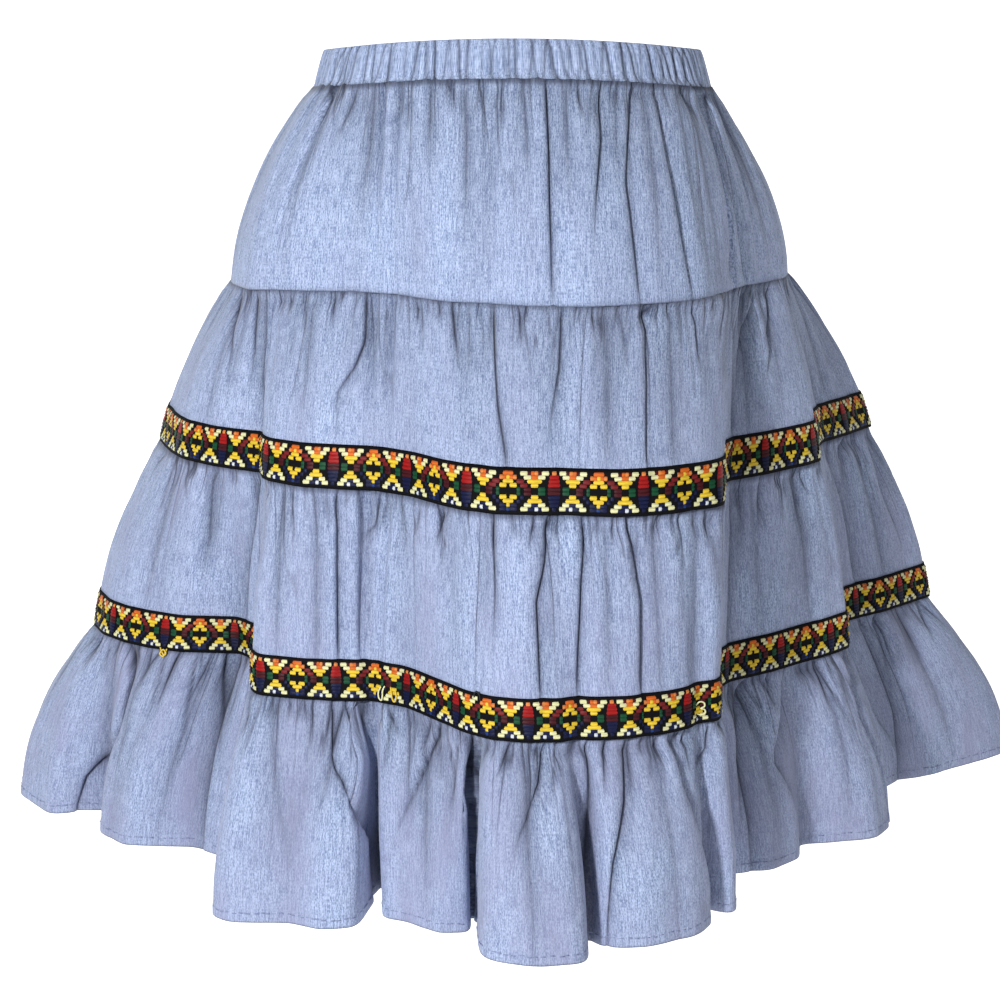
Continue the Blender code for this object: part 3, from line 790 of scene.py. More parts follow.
def unevenness(points):
    """A height from about -1 to 1 that follows no pattern and changes slowly down the cloth."""
    heights = []
    for x, y, z in points.tolist():
        broad = noise.noise(Vector((x, y, z * BROAD_DRAWN_OUT)) / BROAD_SIZE)
        fine = noise.noise(Vector((x, y, z * FINE_DRAWN_OUT)) / FINE_SIZE)
        heights.append(broad + FINE_SHARE * fine)
    return np.array(heights)


class TierForm:
    """The surface of a tier, for shares of its cut from left to right and from the top down."""

    def __init__(self, tier, guide=None):
        sizes = bpy.context.scene.skirt_sizes
        self.tier = tier
        self.depth_share = sizes.gathers
        self.crumple = sizes.crumple
        self.top, self.bottom = CURVES[tier.top], CURVES[tier.bottom]
        self.guide = (self.top + self.bottom) / 2 if guide is None else guide
        self.slopes = [(np.roll(c, -1, axis=0) - np.roll(c, 1, axis=0)) / 2
                       for c in (self.top, self.bottom)]
        self.valleys = [valleys_of(curve) for curve in (self.top, self.bottom)]
        self.main = self.by_hand()
        self.creases = self.main + self.strewn()
        self.levels = np.linspace(*LEVELS)
        taken = sum(depth * TROUGH_AREA * (left + right) * fade(self.levels, downs[0], downs[-1])
                    for _, downs, depth, left, right in self.creases)
        girths = np.interp(self.levels, (0, 1), (girth_of(self.top), girth_of(self.bottom)))
        self.given_back = GIVEN_BACK * taken / girths

        self.steps = np.linalg.norm(np.roll(self.guide, -1, axis=0) - self.guide, axis=1)
        self.arc = np.concatenate([[0], np.cumsum(self.steps)]) / self.steps.sum()

    @staticmethod
    def wrapped(places):
        return (places + PLAN_PLACES / 2) % PLAN_PLACES - PLAN_PLACES / 2

    def by_hand(self):
        """The main creases: places and shares of the way down, depth, and widths. The hidden
        back has ones like those of the front, the other way round."""
        draw = np.random.default_rng(self.tier.seed + 1)
        made = []
        for kind, lines in CREASES[self.tier.node].items():
            sizes = CREASE_KINDS[self.tier.node][kind]
            widths = (sizes.left_mm * MM, sizes.right_mm * MM)
            for line in lines:
                angles = [degrees for degrees, _ in line]
                mirrored = [BACK_MIRROR - BACK_NARROWED * degrees for degrees in angles]
                for turned, (left, right) in ((angles, widths), (mirrored, widths[::-1])):
                    places = np.array([place_of(self.tier.line, d) for d in turned], float)
                    places = places[0] + self.wrapped(places - places[0])
                    depth = sizes.depth_mm * MM * draw.uniform(*CREASE_UNEVEN)
                    made.append((places, [down for _, down in line], depth, left, right))
        return made

    def closeness(self, row):
        """How many times closer the columns stand at each place of a row than elsewhere."""
        closer = np.ones(PLAN_PLACES)
        for k, (line, downs, *_) in enumerate(self.main):
            away = self.wrapped(np.arange(PLAN_PLACES) - np.interp(row, downs, line))
            extra = BACK_COLUMNS if k % 2 else FRONT_COLUMNS
            closer += extra * np.exp(-((away * self.steps / CLOSE_WITHIN) ** 2))
        return closer

    def strewn(self):
        """Gathers of uneven spacing, depth, width and length all round the seam."""
        tier = self.tier
        draw = np.random.default_rng(tier.seed)
        made = []
        for kind in STREWN[tier.node]:
            shares = np.arange(kind.count) + draw.uniform(*STREWN_ASTRAY, kind.count)
            places = even_places(self.top, shares / kind.count)
            depths = draw.uniform(*kind.depth_mm, kind.count) * MM
            widths = draw.uniform(*kind.width_mm, kind.count) * MM
            skew = draw.uniform(*STREWN_SKEW, kind.count)
            spread = kind.length[1] - kind.length[0]
            lengths = kind.length[0] + spread * draw.uniform(0, 1, kind.count) ** MOSTLY_SHORT
            leans = STREWN_LEAN + STREWN_LEAN_BY_LENGTH * lengths
            leans = draw.uniform(-1, 1, kind.count) * leans
            made += [((place, place + lean), (0, length), depth, width * one, width / one)
                     for place, lean, length, depth, width, one
                     in zip(places, leans, lengths, depths, widths, skew)]
        return made

    def spread(self, across, down):
        """Shares of the cut for a grid whose columns stand closer along the main creases, and
        whose rows stand closer under the seam, and at the hem. Its top is tucked under."""
        if self.tier.bottom == "hem":
            down = down - RUFFLE_ROWS_CROWD * np.sin(2 * math.pi * down) / (2 * math.pi)
        else:
            down = down ** ROWS_CROWD
        down = TUCK + down * (1 - TUCK)
        placed = np.empty(len(across))
        for row in np.unique(down):
            there = down == row
            placed[there] = np.interp(across[there], self.ticks(row), self.arc)
        return placed, down

    def ticks(self, row):
        """The share of the columns that lie before each place, in a row of the grid."""
        ticks = np.concatenate([[0], np.cumsum(self.steps * self.closeness(row))])
        return ticks / ticks[-1]

    def surface(self, across, down, lift=0.0):
        """Points lift metres off the cloth's face, and how dark the shade painted there is."""
        places = even_places(self.guide, across)
        reach = down + self.tier.puff * down * (1 - down)
        reach = np.where(down < 0, 0, reach)
        upper, lower = pick(self.top, places), pick(self.bottom, places)
        slope_top, slope_bottom = (pick(s, places) for s in self.slopes)
        slope = slope_top + (slope_bottom - slope_top) * reach[:, None]
        stretch = np.linalg.norm(slope, axis=1)
        normal = np.stack([slope[:, 1], -slope[:, 0]], -1) / stretch[:, None]
        level = np.zeros(2)
        z_top = self.tier.heights[0] + pick(EDGE_RISE.get(self.tier.top, level), places)
        z_bottom = self.tier.heights[1] + pick(EDGE_RISE.get(self.tier.bottom, level), places)
        plan = upper + (lower - upper) * reach[:, None]
        z = z_top + (z_bottom - z_top) * down

        depth_in, sideways, light = self.pressed(places, down, stretch)
        # Painted shade in the valleys between the big folds, and right under the seam
        valley_top, valley_bottom = (pick(valley, places) for valley in self.valleys)
        light *= 1 - valley_top - (valley_bottom - valley_top) * np.clip(reach, 0, 1)
        drop = self.tier.heights[0] - self.tier.heights[1]
        light *= 1 - SEAM_SHADE * np.exp(-np.clip(down, 0, 1) * drop / SEAM_SHADE_REACH)

        plan += slope / stretch[:, None] * sideways[:, None]
        out = CAD_CLOTH / 2 + lift - depth_in
        if self.tier.bottom == "hem":
            out += HEM_STEP * np.clip((down - 1 + HEM_TURNED_UP / drop) / HEM_STEP_RUN, 0, 1)
        out += self.crumple * unevenness(np.column_stack([plan, z]))
        tucked = np.clip(-down, 0, 1)
        out -= TUCK_LEAN[self.tier.node] * drop * tucked
        out -= TUCK_STEP * np.clip(drop * tucked / TUCK_STEP_OVER, 0, 1)
        # Painted shade on the edge that is tucked behind the piece above
        light *= 1 - TUCK_SHADE * np.clip(tucked / TUCKED_FLAT, 0, 1)
        return np.column_stack([plan + normal * out[:, None], z]), 1 - light

    def points(self, across, down, lift=0.0):
        return self.surface(across, down, lift)[0]

    def pressed(self, places, down, stretch):
        """How far the creases and gathers press the cloth in, how far they draw it sideways, and
        the light they leave, for the shade painted into the colour. A narrow crease's slopes close
        over its floor, and one that is steeper on a side leans that way."""
        depth_in = np.zeros(len(places))
        sideways = np.zeros(len(places))
        light = np.ones(len(places))
        for line, downs, depth, left, right in self.creases:
            start, end = downs[0], downs[-1]
            centre = np.interp(down, downs, line)
            away = self.wrapped(places - centre) * stretch
            near = (np.abs(away) < FELT_WITHIN * max(left, right)) & (down < end)
            if start > 0:
                near &= down > start
            if near.any():
                there = fade(down[near], start, end)
                away = away[near]
                wider = 1 + WIDENED * np.clip((down[near] - start) / (end - start), 0, 1)
                form = trough(away / wider, left, right)
                depth_in[near] += depth * form * there
                width = np.where(away < 0, left, right) * wider
                closing = PINCH * np.clip((PINCH_WIDTHS[1] - width)
                                          / (PINCH_WIDTHS[1] - PINCH_WIDTHS[0]), 0, 1)
                lean = LEAN * (left - right) / (left + right)
                pinched = away * closing * np.exp(-((away / (PINCH_REACH * width)) ** 2))
                sideways[near] += there * (lean * depth * form - pinched)
                # Painted shade at the crease's floor and along its sides
                dark = CREASE_SHADE * min(depth / FULL_SHADE_DEPTH, 1)
                light[near] *= 1 - dark * there * crease_shade(away, width, (left + right) / 2)
        held = np.clip((down - self.tier.held_flat) / HELD_RUN + 1, 0, 1)
        free = self.depth_share * (1 - HELD_SHARE * held * held * (3 - 2 * held))
        free *= np.clip(1 + down / TUCKED_FLAT, 0, 1)
        depth_in -= np.interp(down, self.levels, self.given_back)
        depth_in = DEEPEST_PRESS * np.tanh(depth_in * free / DEEPEST_PRESS)
        return depth_in, sideways * free, 1 - (1 - light) * free


def new_piece(name, bm):
    """An object with a finished bmesh as its mesh."""
    mesh = bpy.data.meshes.new(name)
    bm.to_mesh(mesh)
    bm.free()
    mesh.shade_smooth()
    obj = bpy.data.objects.new(name, mesh)
    bpy.context.collection.objects.link(obj)
    return obj


def closed_sheet(name, columns, rows, spread, shape, cut):
    """A flat grid bent round the skirt and sewn to itself, with its UV map in metres of cloth, and
    the shade painted into its folds kept as a vertex attribute."""
    bm = bmesh.new()
    bmesh.ops.create_grid(bm, x_segments=columns, y_segments=rows, size=0.5)
    flat = np.array([vert.co for vert in bm.verts])
    across, down = spread(flat[:, 0] + 0.5, 0.5 - flat[:, 1])
    layer = bm.loops.layers.uv.new("cloth")
    on_cut = np.column_stack([across * cut[0], (1 - down) * cut[1]]).tolist()
    bm.verts.index_update()
    for face in bm.faces:
        for loop in face.loops:
            loop[layer].uv = on_cut[loop.vert.index]
    # The shade attribute is painted shade, which the chambray mixes into its colour
    shade = bm.verts.layers.float.new("shade")
    points, dark = shape(across, down)
    for vert, point, darkness in zip(bm.verts, points.tolist(), dark.tolist()):
        vert.co = point
        vert[shade] = darkness
    bmesh.ops.remove_doubles(bm, verts=bm.verts, dist=1e-6)
    return new_piece(name, bm)


def evenly(across, down):
    """The spread of a grid whose columns and rows stay evenly spaced."""
    return across, down


def thicken(obj, thickness, offset=-1):
    wall = obj.modifiers.new("thickness", "SOLIDIFY")
    wall.thickness = thickness
    wall.offset = offset
    wall.use_quality_normals = True


def finish_piece(obj, material, slot, *nodes):
    obj.data.materials.append(material)
    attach(obj, "root")
    if nodes:
        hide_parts(*nodes)


class Value:
    """A number or vector that flows through a material's nodes."""

    def __init__(self, nodes, socket):
        self.nodes = nodes
        self.socket = socket

    def maths(self, operation, *others):
        sockets = [other.socket if isinstance(other, Value) else other for other in others]
        values = dict(enumerate(sockets))
        return self.nodes.add("ShaderNodeMath", {"operation": operation}, values)

    def __add__(self, other):
        return self.maths("ADD", self, other)

    def __radd__(self, other):
        return self.maths("ADD", other, self)

    def __sub__(self, other):
        return self.maths("SUBTRACT", self, other)

    def __rsub__(self, other):
        return self.maths("SUBTRACT", other, self)

    def __mul__(self, other):
        return self.maths("MULTIPLY", self, other)

    def __rmul__(self, other):
        return self.maths("MULTIPLY", other, self)

    def absolute(self):
        return self.maths("ABSOLUTE", self)

    def clipped(self):
        """Kept from 0 to 1."""
        return self.maths("MAXIMUM", self.maths("MINIMUM", self, 1.0), 0.0)


class Finish:
    """A material with a Principled shader, and the one method that adds other nodes."""

    def __init__(self, name, **constants):
        self.material = bpy.data.materials.new(name)
        self.material.use_nodes = True
        self.tree = self.material.node_tree
        self.shader = self.tree.nodes["Principled BSDF"]
        for socket, value in constants.items():
            self.shader.inputs[socket.replace("_", " ")].default_value = value

    def add(self, kind, settings=None, values=None, output=0):
        """A node of a kind, with its settings made first, then its sockets' values or links."""
        node = self.tree.nodes.new(kind)
        for key, value in (settings or {}).items():
            setattr(node, key, value)
        for key, value in (values or {}).items():
            if isinstance(value, Value):
                value = value.socket
            if isinstance(value, bpy.types.NodeSocket):
                self.tree.links.new(value, node.inputs[key])
            else:
                node.inputs[key].default_value = value
        return Value(self, node.outputs[output])

    def feed(self, socket, value):
        self.tree.links.new(value.socket, self.shader.inputs[socket])

    def mixed(self, share, first, second, blend="MIX"):
        """Colours mixed by a share that varies over the surface."""
        settings = {"data_type": "RGBA", "blend_type": blend, "clamp_factor": True}
        return self.add("ShaderNodeMix", settings, {0: share, 6: first, 7: second}, 2)

    def on_cloth(self):
        """The place on the flat cloth, in metres from its lower edge's left end."""
        return self.add("ShaderNodeUVMap", {"uv_map": "cloth"})

    def cloth_noise(self, across, along, detail=2.0):
        """Noise stretched along the cloth: marks per metre across and along it."""
        uv = self.on_cloth()
        scaled = self.add("ShaderNodeVectorMath", {"operation": "MULTIPLY"},
                          {0: uv, 1: (across, along, 1)})
        return self.add("ShaderNodeTexNoise", {"noise_dimensions": "2D"},
                        {"Vector": scaled, "Scale": 1.0, "Detail": detail, "Roughness": 0.55})

    def bumped(self, height, distance, strength=1.0):
        bump = self.add("ShaderNodeBump", {},
                        {"Height": height, "Distance": distance, "Strength": strength})
        self.feed("Normal", bump)


def rgba(colour):
    return (*colour, 1.0)


def chambray():
    """Pale warp and blue weft: streaks down the cloth, finer ones across, lilac places, with
    painted shade in the folds, in thin gather lines and along seams and edges.
    """
    if "woven_chambray" in bpy.data.materials:
        return bpy.data.materials["woven_chambray"]
    colours = bpy.context.scene.skirt_colours
    cloth = Finish("woven_chambray", Roughness=0.88, Sheen_Weight=0.20, Sheen_Roughness=0.5)
    cloth.shader.inputs["Specular IOR Level"].default_value = 0.2
    streaks = cloth.cloth_noise(*STREAKS)
    hairs = cloth.cloth_noise(*HAIRS)
    slubs = cloth.cloth_noise(*SLUBS)
    weft = cloth.cloth_noise(*WEFT)
    broad = cloth.cloth_noise(*BROAD_PLACES)
    share = PALE_SHARE + 1.5 * (streaks - 0.5) + 1.7 * (hairs - 0.5) + 0.6 * (slubs - 0.5)
    share = share + 0.35 * (weft - 0.5)
    threads = cloth.mixed(share, rgba(colours.blue_thread), rgba(colours.pale_thread))
    places = LILAC_SHARE + 1.5 * (broad - 0.5)
    spot = cloth.add("ShaderNodeTexCoord", {}, {}, 3)
    height = cloth.add("ShaderNodeSeparateXYZ", {}, {0: spot}, 2)
    lilac = places * (LILAC_AT_WAIST - LILAC_BY_DEPTH * height)
    toned = cloth.mixed(lilac, threads, rgba(colours.lilac_cast))
    shade = cloth.add("ShaderNodeAttribute", {"attribute_name": "shade"}, {}, 2)
    short_gather_shade, short_slope = thin_gathers(cloth, *SHORT_GATHERS)
    long_gather_shade, long_slope = thin_gathers(cloth, *LONG_GATHERS)
    up = cloth.add("ShaderNodeSeparateXYZ", {}, {0: cloth.on_cloth()}, 1)
    # Thin lines of painted shade: under the seam at the top edge, broken up by the hairs, and along
    # the lower edge
    seam = (1.1 - SEAM_LINE * (CUT_HEIGHT - up)).clipped() * (1.5 * hairs).clipped()
    edge = (1.0 - EDGE_LINE * up).clipped()
    # The mesh's shade attribute and the gather, seam and edge lines are painted shade, mixed into
    # the base colour
    dark = 1 - (1 - shade) * (1 - 0.85 * short_gather_shade) * (1 - 0.62 * long_gather_shade)
    dark = 1 - (1 - dark) * (1 - 0.55 * seam) * (1 - 0.55 * edge)
    cloth.feed("Base Color", cloth.mixed(dark, toned, rgba(colours.painted_shade_colour)))
    relief = streaks * 0.8 + hairs * 0.5 + weft * 0.4 + broad * 0.8
    relief = relief - 2.6 * short_slope - 4.0 * long_slope
    cloth.bumped(relief, THREAD_RELIEF, 0.6)
    return cloth.material


def thin_gathers(cloth, across, along, narrowness, shortness):
    """Thin lines of painted shade that run down from the seam, too fine for the mesh, and their
    wider slopes for the bump.
    """
    away = (cloth.cloth_noise(across, along, 1.0) - 0.5).absolute()
    up = cloth.add("ShaderNodeSeparateXYZ", {}, {0: cloth.on_cloth()}, 1)
    length = cloth.cloth_noise(0.8 * across, 2, 1.0)
    there = (4.2 * length - 1.4 - shortness * (CUT_HEIGHT - up)).clipped()
    line = (1 - narrowness * away).clipped() * there
    slope = (1 - narrowness / 4 * away).clipped() * there
    return line, slope


def ribbon_ground():
    """The ribbon's black ground with its fine cross ribs."""
    if "ribbon_ground" in bpy.data.materials:
        return bpy.data.materials["ribbon_ground"]
    colours = bpy.context.scene.skirt_colours
    cloth = Finish("ribbon_ground", Roughness=0.8)
    cloth.shader.inputs["Specular IOR Level"].default_value = 0.1
    ribs = cloth.cloth_noise(900, 200)
    shade = cloth.mixed(ribs, rgba(colours.ribbon_ground), rgba(BLACK_THREAD))
    cloth.feed("Base Color", shade)
    cloth.bumped(ribs, 0.0004, 0.6)
    return cloth.material


def coloured_floats():
    """Bright threads: the colour is the chart's with painted shade at the floats' edges and in the
    folds, a little uneven from thread to thread.
    """
    if "coloured_floats" in bpy.data.materials:
        return bpy.data.materials["coloured_floats"]
    silk = Finish("coloured_floats", Roughness=0.5)
    silk.shader.inputs["Specular IOR Level"].default_value = 0.2
    colour = silk.add("ShaderNodeVertexColor", {"layer_name": "thread"})
    strands = silk.cloth_noise(160, 1500)
    dimmed = silk.mixed(0.5 + 2 * (strands - 0.5), (0.66, 0.66, 0.66, 1), (1.0, 1.0, 1.0, 1))
    toned = silk.mixed(1.0, colour, dimmed, "MULTIPLY")
    silk.feed("Base Color", toned)
    silk.bumped(strands, 0.0004, 0.8)
    return silk.material


def sewing_thread(name, colour):
    if name in bpy.data.materials:
        return bpy.data.materials[name]
    thread = Finish(name, Roughness=0.7)
    spot = thread.add("ShaderNodeTexCoord", {}, {}, 3)
    twist = thread.add("ShaderNodeTexNoise", {}, {"Vector": spot, "Scale": 2600.0})
    dark = tuple(c * 0.6 for c in colour)
    thread.feed("Base Color", thread.mixed(twist, rgba(dark), rgba(colour)))
    return thread.material


def make_tier(tier):
    """A tier's cloth, whose top edge is tucked up behind the piece above."""
    sizes = bpy.context.scene.skirt_sizes
    form = TierForm(tier)
    obj = closed_sheet(tier.name, tier.columns, tier.rows, form.spread, form.surface, tier.cut)
    thicken(obj, sizes.cloth)
    finish_piece(obj, chambray(), "chambray", tier.node)
    return obj, form


def waist_ribs():
    """The ribs listed across the front, and like ones round the sides and the back: the place of
    each at the top and the bottom of the band, its depth and its width."""
    draw = np.random.default_rng(5)
    waist = CURVES["waist"]
    front = [place_of("waist", degrees) for degrees in range(-88, 89)]
    across = waist[front, 0]
    ribs = [(np.interp(rib.top_mm * MM, across, front),
             np.interp(rib.bottom_mm * MM, across, front),
             rib.depth_mm * MM, rib.width_mm * MM) for rib in WAIST_RIBS]
    hidden = np.arange(0, girth_of(waist), HIDDEN_RIB_APART)
    hidden = hidden + draw.uniform(-0.3, 0.3, len(hidden)) * HIDDEN_RIB_APART
    for place in even_places(waist, hidden / girth_of(waist)):
        depth, width, lean = draw.uniform(1.2, 2.4), draw.uniform(1.2, 1.8), draw.uniform(-4, 4)
        if not front[0] < place < front[-1]:
            ribs.append((place - lean, place + lean, depth * MM, width * MM))
    return ribs


def waistband_shape(across, down):
    """A casing round elastic: a flattened tube with ribs of uneven depth and a puckered seam, with
    shade painted along the ribs, in the puckers and under the seam.
    """
    draw = np.random.default_rng(6)
    waist = CURVES["waist"]
    places = even_places(waist, across)
    slope = pick((np.roll(waist, -1, axis=0) - np.roll(waist, 1, axis=0)) / 2, places)
    stretch = np.linalg.norm(slope, axis=1)
    normal = np.stack([slope[:, 1], -slope[:, 0]], -1) / stretch[:, None]
    turn = 2 * math.pi * (down - 0.25)
    out, up = np.cos(turn), np.sin(turn)
    steps = np.linalg.norm(np.roll(waist, -1, axis=0) - waist, axis=1)
    ends = np.concatenate([[0], np.cumsum(steps)])

    def away_from(centre):
        """Metres along the waist from a rib or a pucker to each point."""
        here, there = (np.interp(np.mod(p, PLAN_PLACES), np.arange(PLAN_PLACES + 1), ends)
                       for p in (places, centre))
        return (here - there + ends[-1] / 2) % ends[-1] - ends[-1] / 2

    pressed = np.zeros(len(places))
    light = np.ones(len(places))
    for top, bottom, depth, width in waist_ribs():
        away = away_from(top + (bottom - top) * (1 - up) / 2)
        pressed += depth * trough(away, width, width * RIB_ONE_SIDED)
        # Painted shade along each rib
        dark = RIB_SHADE * min(depth / RIB_FULL_SHADE, 1) ** 1.4
        light *= 1 - dark * np.exp(-np.abs(away / (0.35 * width + RIB_SHADE_WIDTH)) ** 1.5)
    astray = draw.uniform(*PUCKER_ASTRAY, WAIST_PUCKERS)
    puckers = even_places(waist, (np.arange(WAIST_PUCKERS) + astray) / WAIST_PUCKERS)
    near_seam = np.clip((-0.55 - up) / 0.3, 0, 1)
    pressed *= 1 - 0.75 * near_seam
    for place, depth in zip(puckers, draw.uniform(*PUCKER_DEPTH_MM, WAIST_PUCKERS) * MM):
        away = away_from(place)
        pressed += depth * trough(away, PUCKER_WIDTH, 1.2 * PUCKER_WIDTH) * near_seam
        # Painted shade in each pucker
        shadow = np.exp(-np.abs(away / PUCKER_WIDTH) ** 1.5)
        light *= 1 - PUCKER_SHADE * depth / MM * shadow * near_seam
    pressed = pressed * (0.25 + 0.75 * np.clip(0.5 + 2 * out, 0, 1))

    squared = np.sign(up) * np.abs(up) ** CASING_SQUARE
    bulge = np.sign(out) * np.abs(out) ** CASING_FLAT
    height = WAIST_TOP - WAIST_SEAM
    level = (WAIST_TOP + WAIST_SEAM) / 2 + squared * height / 2
    drawn_in = WAIST_DRAWN_IN * (squared + 1) / 2
    crumple = BAND_CRUMPLE * unevenness(np.column_stack([pick(waist, places), level]))
    offset = bulge * CASING_DEPTH / 2 - pressed - drawn_in + crumple
    plan = pick(waist, places) + normal * offset[:, None]
    # Painted shade along the seam at the bottom of the band
    light *= 1 - BAND_SEAM_SHADE * np.exp(-(up + 1) / BAND_SEAM_RUN)
    return np.column_stack([plan, level + pick(WAIST_RISE, places)]), 1 - light


class SKIRT_OT_waistband(bpy.types.Operator):
    """Make the ribbed casing round the elastic"""

    bl_idname = "skirt.waistband"
    bl_label = "Waistband"

    def execute(self, context):
        cut = (WAIST_CUT_WIDTH, WAIST_CASING_CUT)
        obj = closed_sheet("skirt_waistband", WAIST_COLUMNS, WAIST_ROWS, evenly, waistband_shape,
                           cut)
        finish_piece(obj, chambray(), "chambray", "waistband")
        return {"FINISHED"}


class SKIRT_OT_tiers(bpy.types.Operator):
    """Make the yoke and the two tiers that carry ribbons"""

    bl_idname = "skirt.tiers"
    bl_label = "Yoke and tiers"

    def execute(self, context):
        for tier, held_by in ((YOKE, "skirt_waistband"), (UPPER_TIER, "skirt_yoke"),
                              (LOWER_TIER, "skirt_upper_tier")):
            obj, _ = make_tier(tier)
        return {"FINISHED"}


def on_edge(form, flat, lift):
    """Bends flat points onto a tier's face: X runs round it, Y up from its lower edge. Gives the
    shade painted there too."""
    drop = form.tier.heights[0] - form.tier.heights[1]
    across, down = flat[:, 0] / girth_of(form.bottom), 1 - flat[:, 1] / drop
    return form.surface(across, down, flat[:, 2] + lift)


def metres_round(line, degrees):
    """The way round a tier's lower edge to an angle."""
    curve = CURVES[line]
    steps = np.linalg.norm(np.roll(curve, -1, axis=0) - curve, axis=1)
    return steps[:place_of(line, degrees)].sum()


def bend_onto(bm, form, lift):
    """Moves a flat bmesh onto a tier's lower edge, and gives the painted shade at each vertex."""
    points, dark = on_edge(form, np.array([vert.co for vert in bm.verts]), lift)
    for vert, point in zip(bm.verts, points.tolist()):
        vert.co = point
    return dark.tolist()


def repeat_along(bm, count, apart, wander=(0, 0, 0)):
    """Copies all of a bmesh along X, each a little out of line if the copies wander."""
    draw = np.random.default_rng(count)
    first = bm.verts[:] + bm.edges[:] + bm.faces[:]
    for k in range(1, count):
        copy = bmesh.ops.duplicate(bm, geom=first)["geom"]
        verts = [item for item in copy if isinstance(item, bmesh.types.BMVert)]
        astray = draw.uniform(-1, 1, 3) * wander
        bmesh.ops.translate(bm, verts=verts, vec=(k * apart + astray[0], astray[1], astray[2]))


def runs_of(letters):
    """The floats of one row of the chart: where each starts, its length and its letter."""
    count = len(letters)
    first = next(c for c in range(count) if letters[c] != letters[c - 1])
    runs = []
    for c in range(first, first + count):
        letter = letters[c % count]
        if runs and runs[-1][2] == letter and runs[-1][1] < LONGEST_FLOAT:
            runs[-1][1] += 1
        else:
            runs.append([c, 1, letter])
    return [run for run in runs if run[2] != "K"]


def flat_floats(bm, thread, width, float_height):
    """One repeat of the ribbon's coloured floats, lying flat, each raised in the middle, with
    painted shade towards its edges.
    """
    step = width / (2 * (len(RIBBON_CHART[0]) - 1))
    row_step = (RIBBON_HEIGHT - 2 * RIBBON_EDGE) / len(RIBBON_CHART)
    for r, half in enumerate(RIBBON_CHART):
        up = RIBBON_HEIGHT - RIBBON_EDGE - (r + 0.5) * row_step
        for start, long, letter in runs_of(half + half[-2:0:-1]):
            column = start + (long - 1) / 2
            middle = column * step
            swell = FLOAT_SWELL if column % (2 * len(half) - 2) else SPINDLE_SWELL[r]
            made = bmesh.ops.create_grid(bm, x_segments=FLOAT_SEGMENTS[0],
                                         y_segments=FLOAT_SEGMENTS[1], size=0.5)
            colour = THREADS[letter]
            for vert in made["verts"]:
                x, y = vert.co.xy
                round_end = 1 - 0.16 * (abs(y) > 0.1) * (abs(x) > 0.3)
                crown = 1.0 if abs(x) < 0.3 and abs(y) < 0.1 else 0.55 if abs(y) < 0.1 else 0.0
                vert.co = (middle + x * long * step * swell * round_end,
                           up + y * row_step * FLOAT_FULLNESS, crown * float_height)
                # Painted shade: each float's colour is darker towards its edges, so that it looks
                # round
                lit = FLOAT_EDGE_SHADE + (1 - FLOAT_EDGE_SHADE) * min(1, 1.6 * crown)
                for loop in vert.link_loops:
                    loop[thread] = rgba(tuple(c * lit for c in colour))


def make_ribbon(tier, name, node):
    """The black ribbon on a tier's lower edge, and the coloured floats woven into it."""
    sizes = bpy.context.scene.skirt_sizes
    form = TierForm(tier, guide=CURVES[tier.bottom])
    girth = girth_of(form.bottom)
    drop = tier.heights[0] - tier.heights[1]
    face = RIBBON_LIFT + sizes.ribbon

    def shape(across, down):
        edge = np.abs(down - 0.5) * 2
        selvedge = SELVEDGE * np.exp(-(((edge - 0.90) / 0.08) ** 2))
        points = form.points(across, 1 - (1 - down) * RIBBON_HEIGHT / drop, face + selvedge)
        return points, np.zeros(len(points))

    ground = closed_sheet(name, *RIBBON_GRID, evenly, shape, (girth, RIBBON_HEIGHT))
    thicken(ground, sizes.ribbon)
    finish_piece(ground, ribbon_ground(), "ribbon", node)

    repeat = REPEATS[tier.bottom]
    bm = bmesh.new()
    thread = bm.loops.layers.float_color.new("thread")
    uv = bm.loops.layers.uv.new("cloth")
    flat_floats(bm, thread, girth / repeat.count, sizes.float_height)
    repeat_along(bm, repeat.count, girth / repeat.count)
    start = metres_round(tier.bottom, repeat.spindle_deg)
    bmesh.ops.translate(bm, verts=bm.verts, vec=(start, 0, 0))
    for face_of_float in bm.faces:
        for loop in face_of_float.loops:
            loop[uv].uv = loop.vert.co.xy
    # The floats take the painted shade of the cloth under them
    for vert, dark in zip(bm.verts, bend_onto(bm, form, face + FLOATS_LIFT)):
        for loop in vert.link_loops:
            loop[thread] = rgba(tuple(c * (1 - dark) for c in loop[thread][:3]))
    figures = new_piece(name + "_figures", bm)
    finish_piece(figures, coloured_floats(), "ribbon")
    return ground, figures, form


def thread_tube(bm, run, radius):
    """A thin closed tube through points."""
    run = [Vector(point) for point in run]
    ahead = (run[1] - run[0]).normalized()
    ring = bmesh.ops.create_circle(bm, cap_ends=True, segments=6, radius=radius)["verts"]
    bmesh.ops.rotate(bm, verts=ring, matrix=ahead.to_track_quat("Z", "Y").to_matrix())
    bmesh.ops.translate(bm, verts=ring, vec=run[0])
    edges = list({edge for vert in ring for edge in vert.link_edges})
    for k in range(1, len(run)):
        geom = bmesh.ops.extrude_edge_only(bm, edges=edges)["geom"]
        ring = [item for item in geom if isinstance(item, bmesh.types.BMVert)]
        edges = [item for item in geom if isinstance(item, bmesh.types.BMEdge)
                 and item.verts[0] in ring and item.verts[1] in ring]
        bmesh.ops.translate(bm, verts=ring, vec=run[k] - run[k - 1])
        turned = (run[min(k + 1, len(run) - 1)] - run[k - 1]).normalized()
        turn = ahead.rotation_difference(turned).to_matrix()
        bmesh.ops.rotate(bm, verts=ring, cent=run[k], matrix=turn)
        ahead = turned
    bmesh.ops.contextual_create(bm, geom=edges)


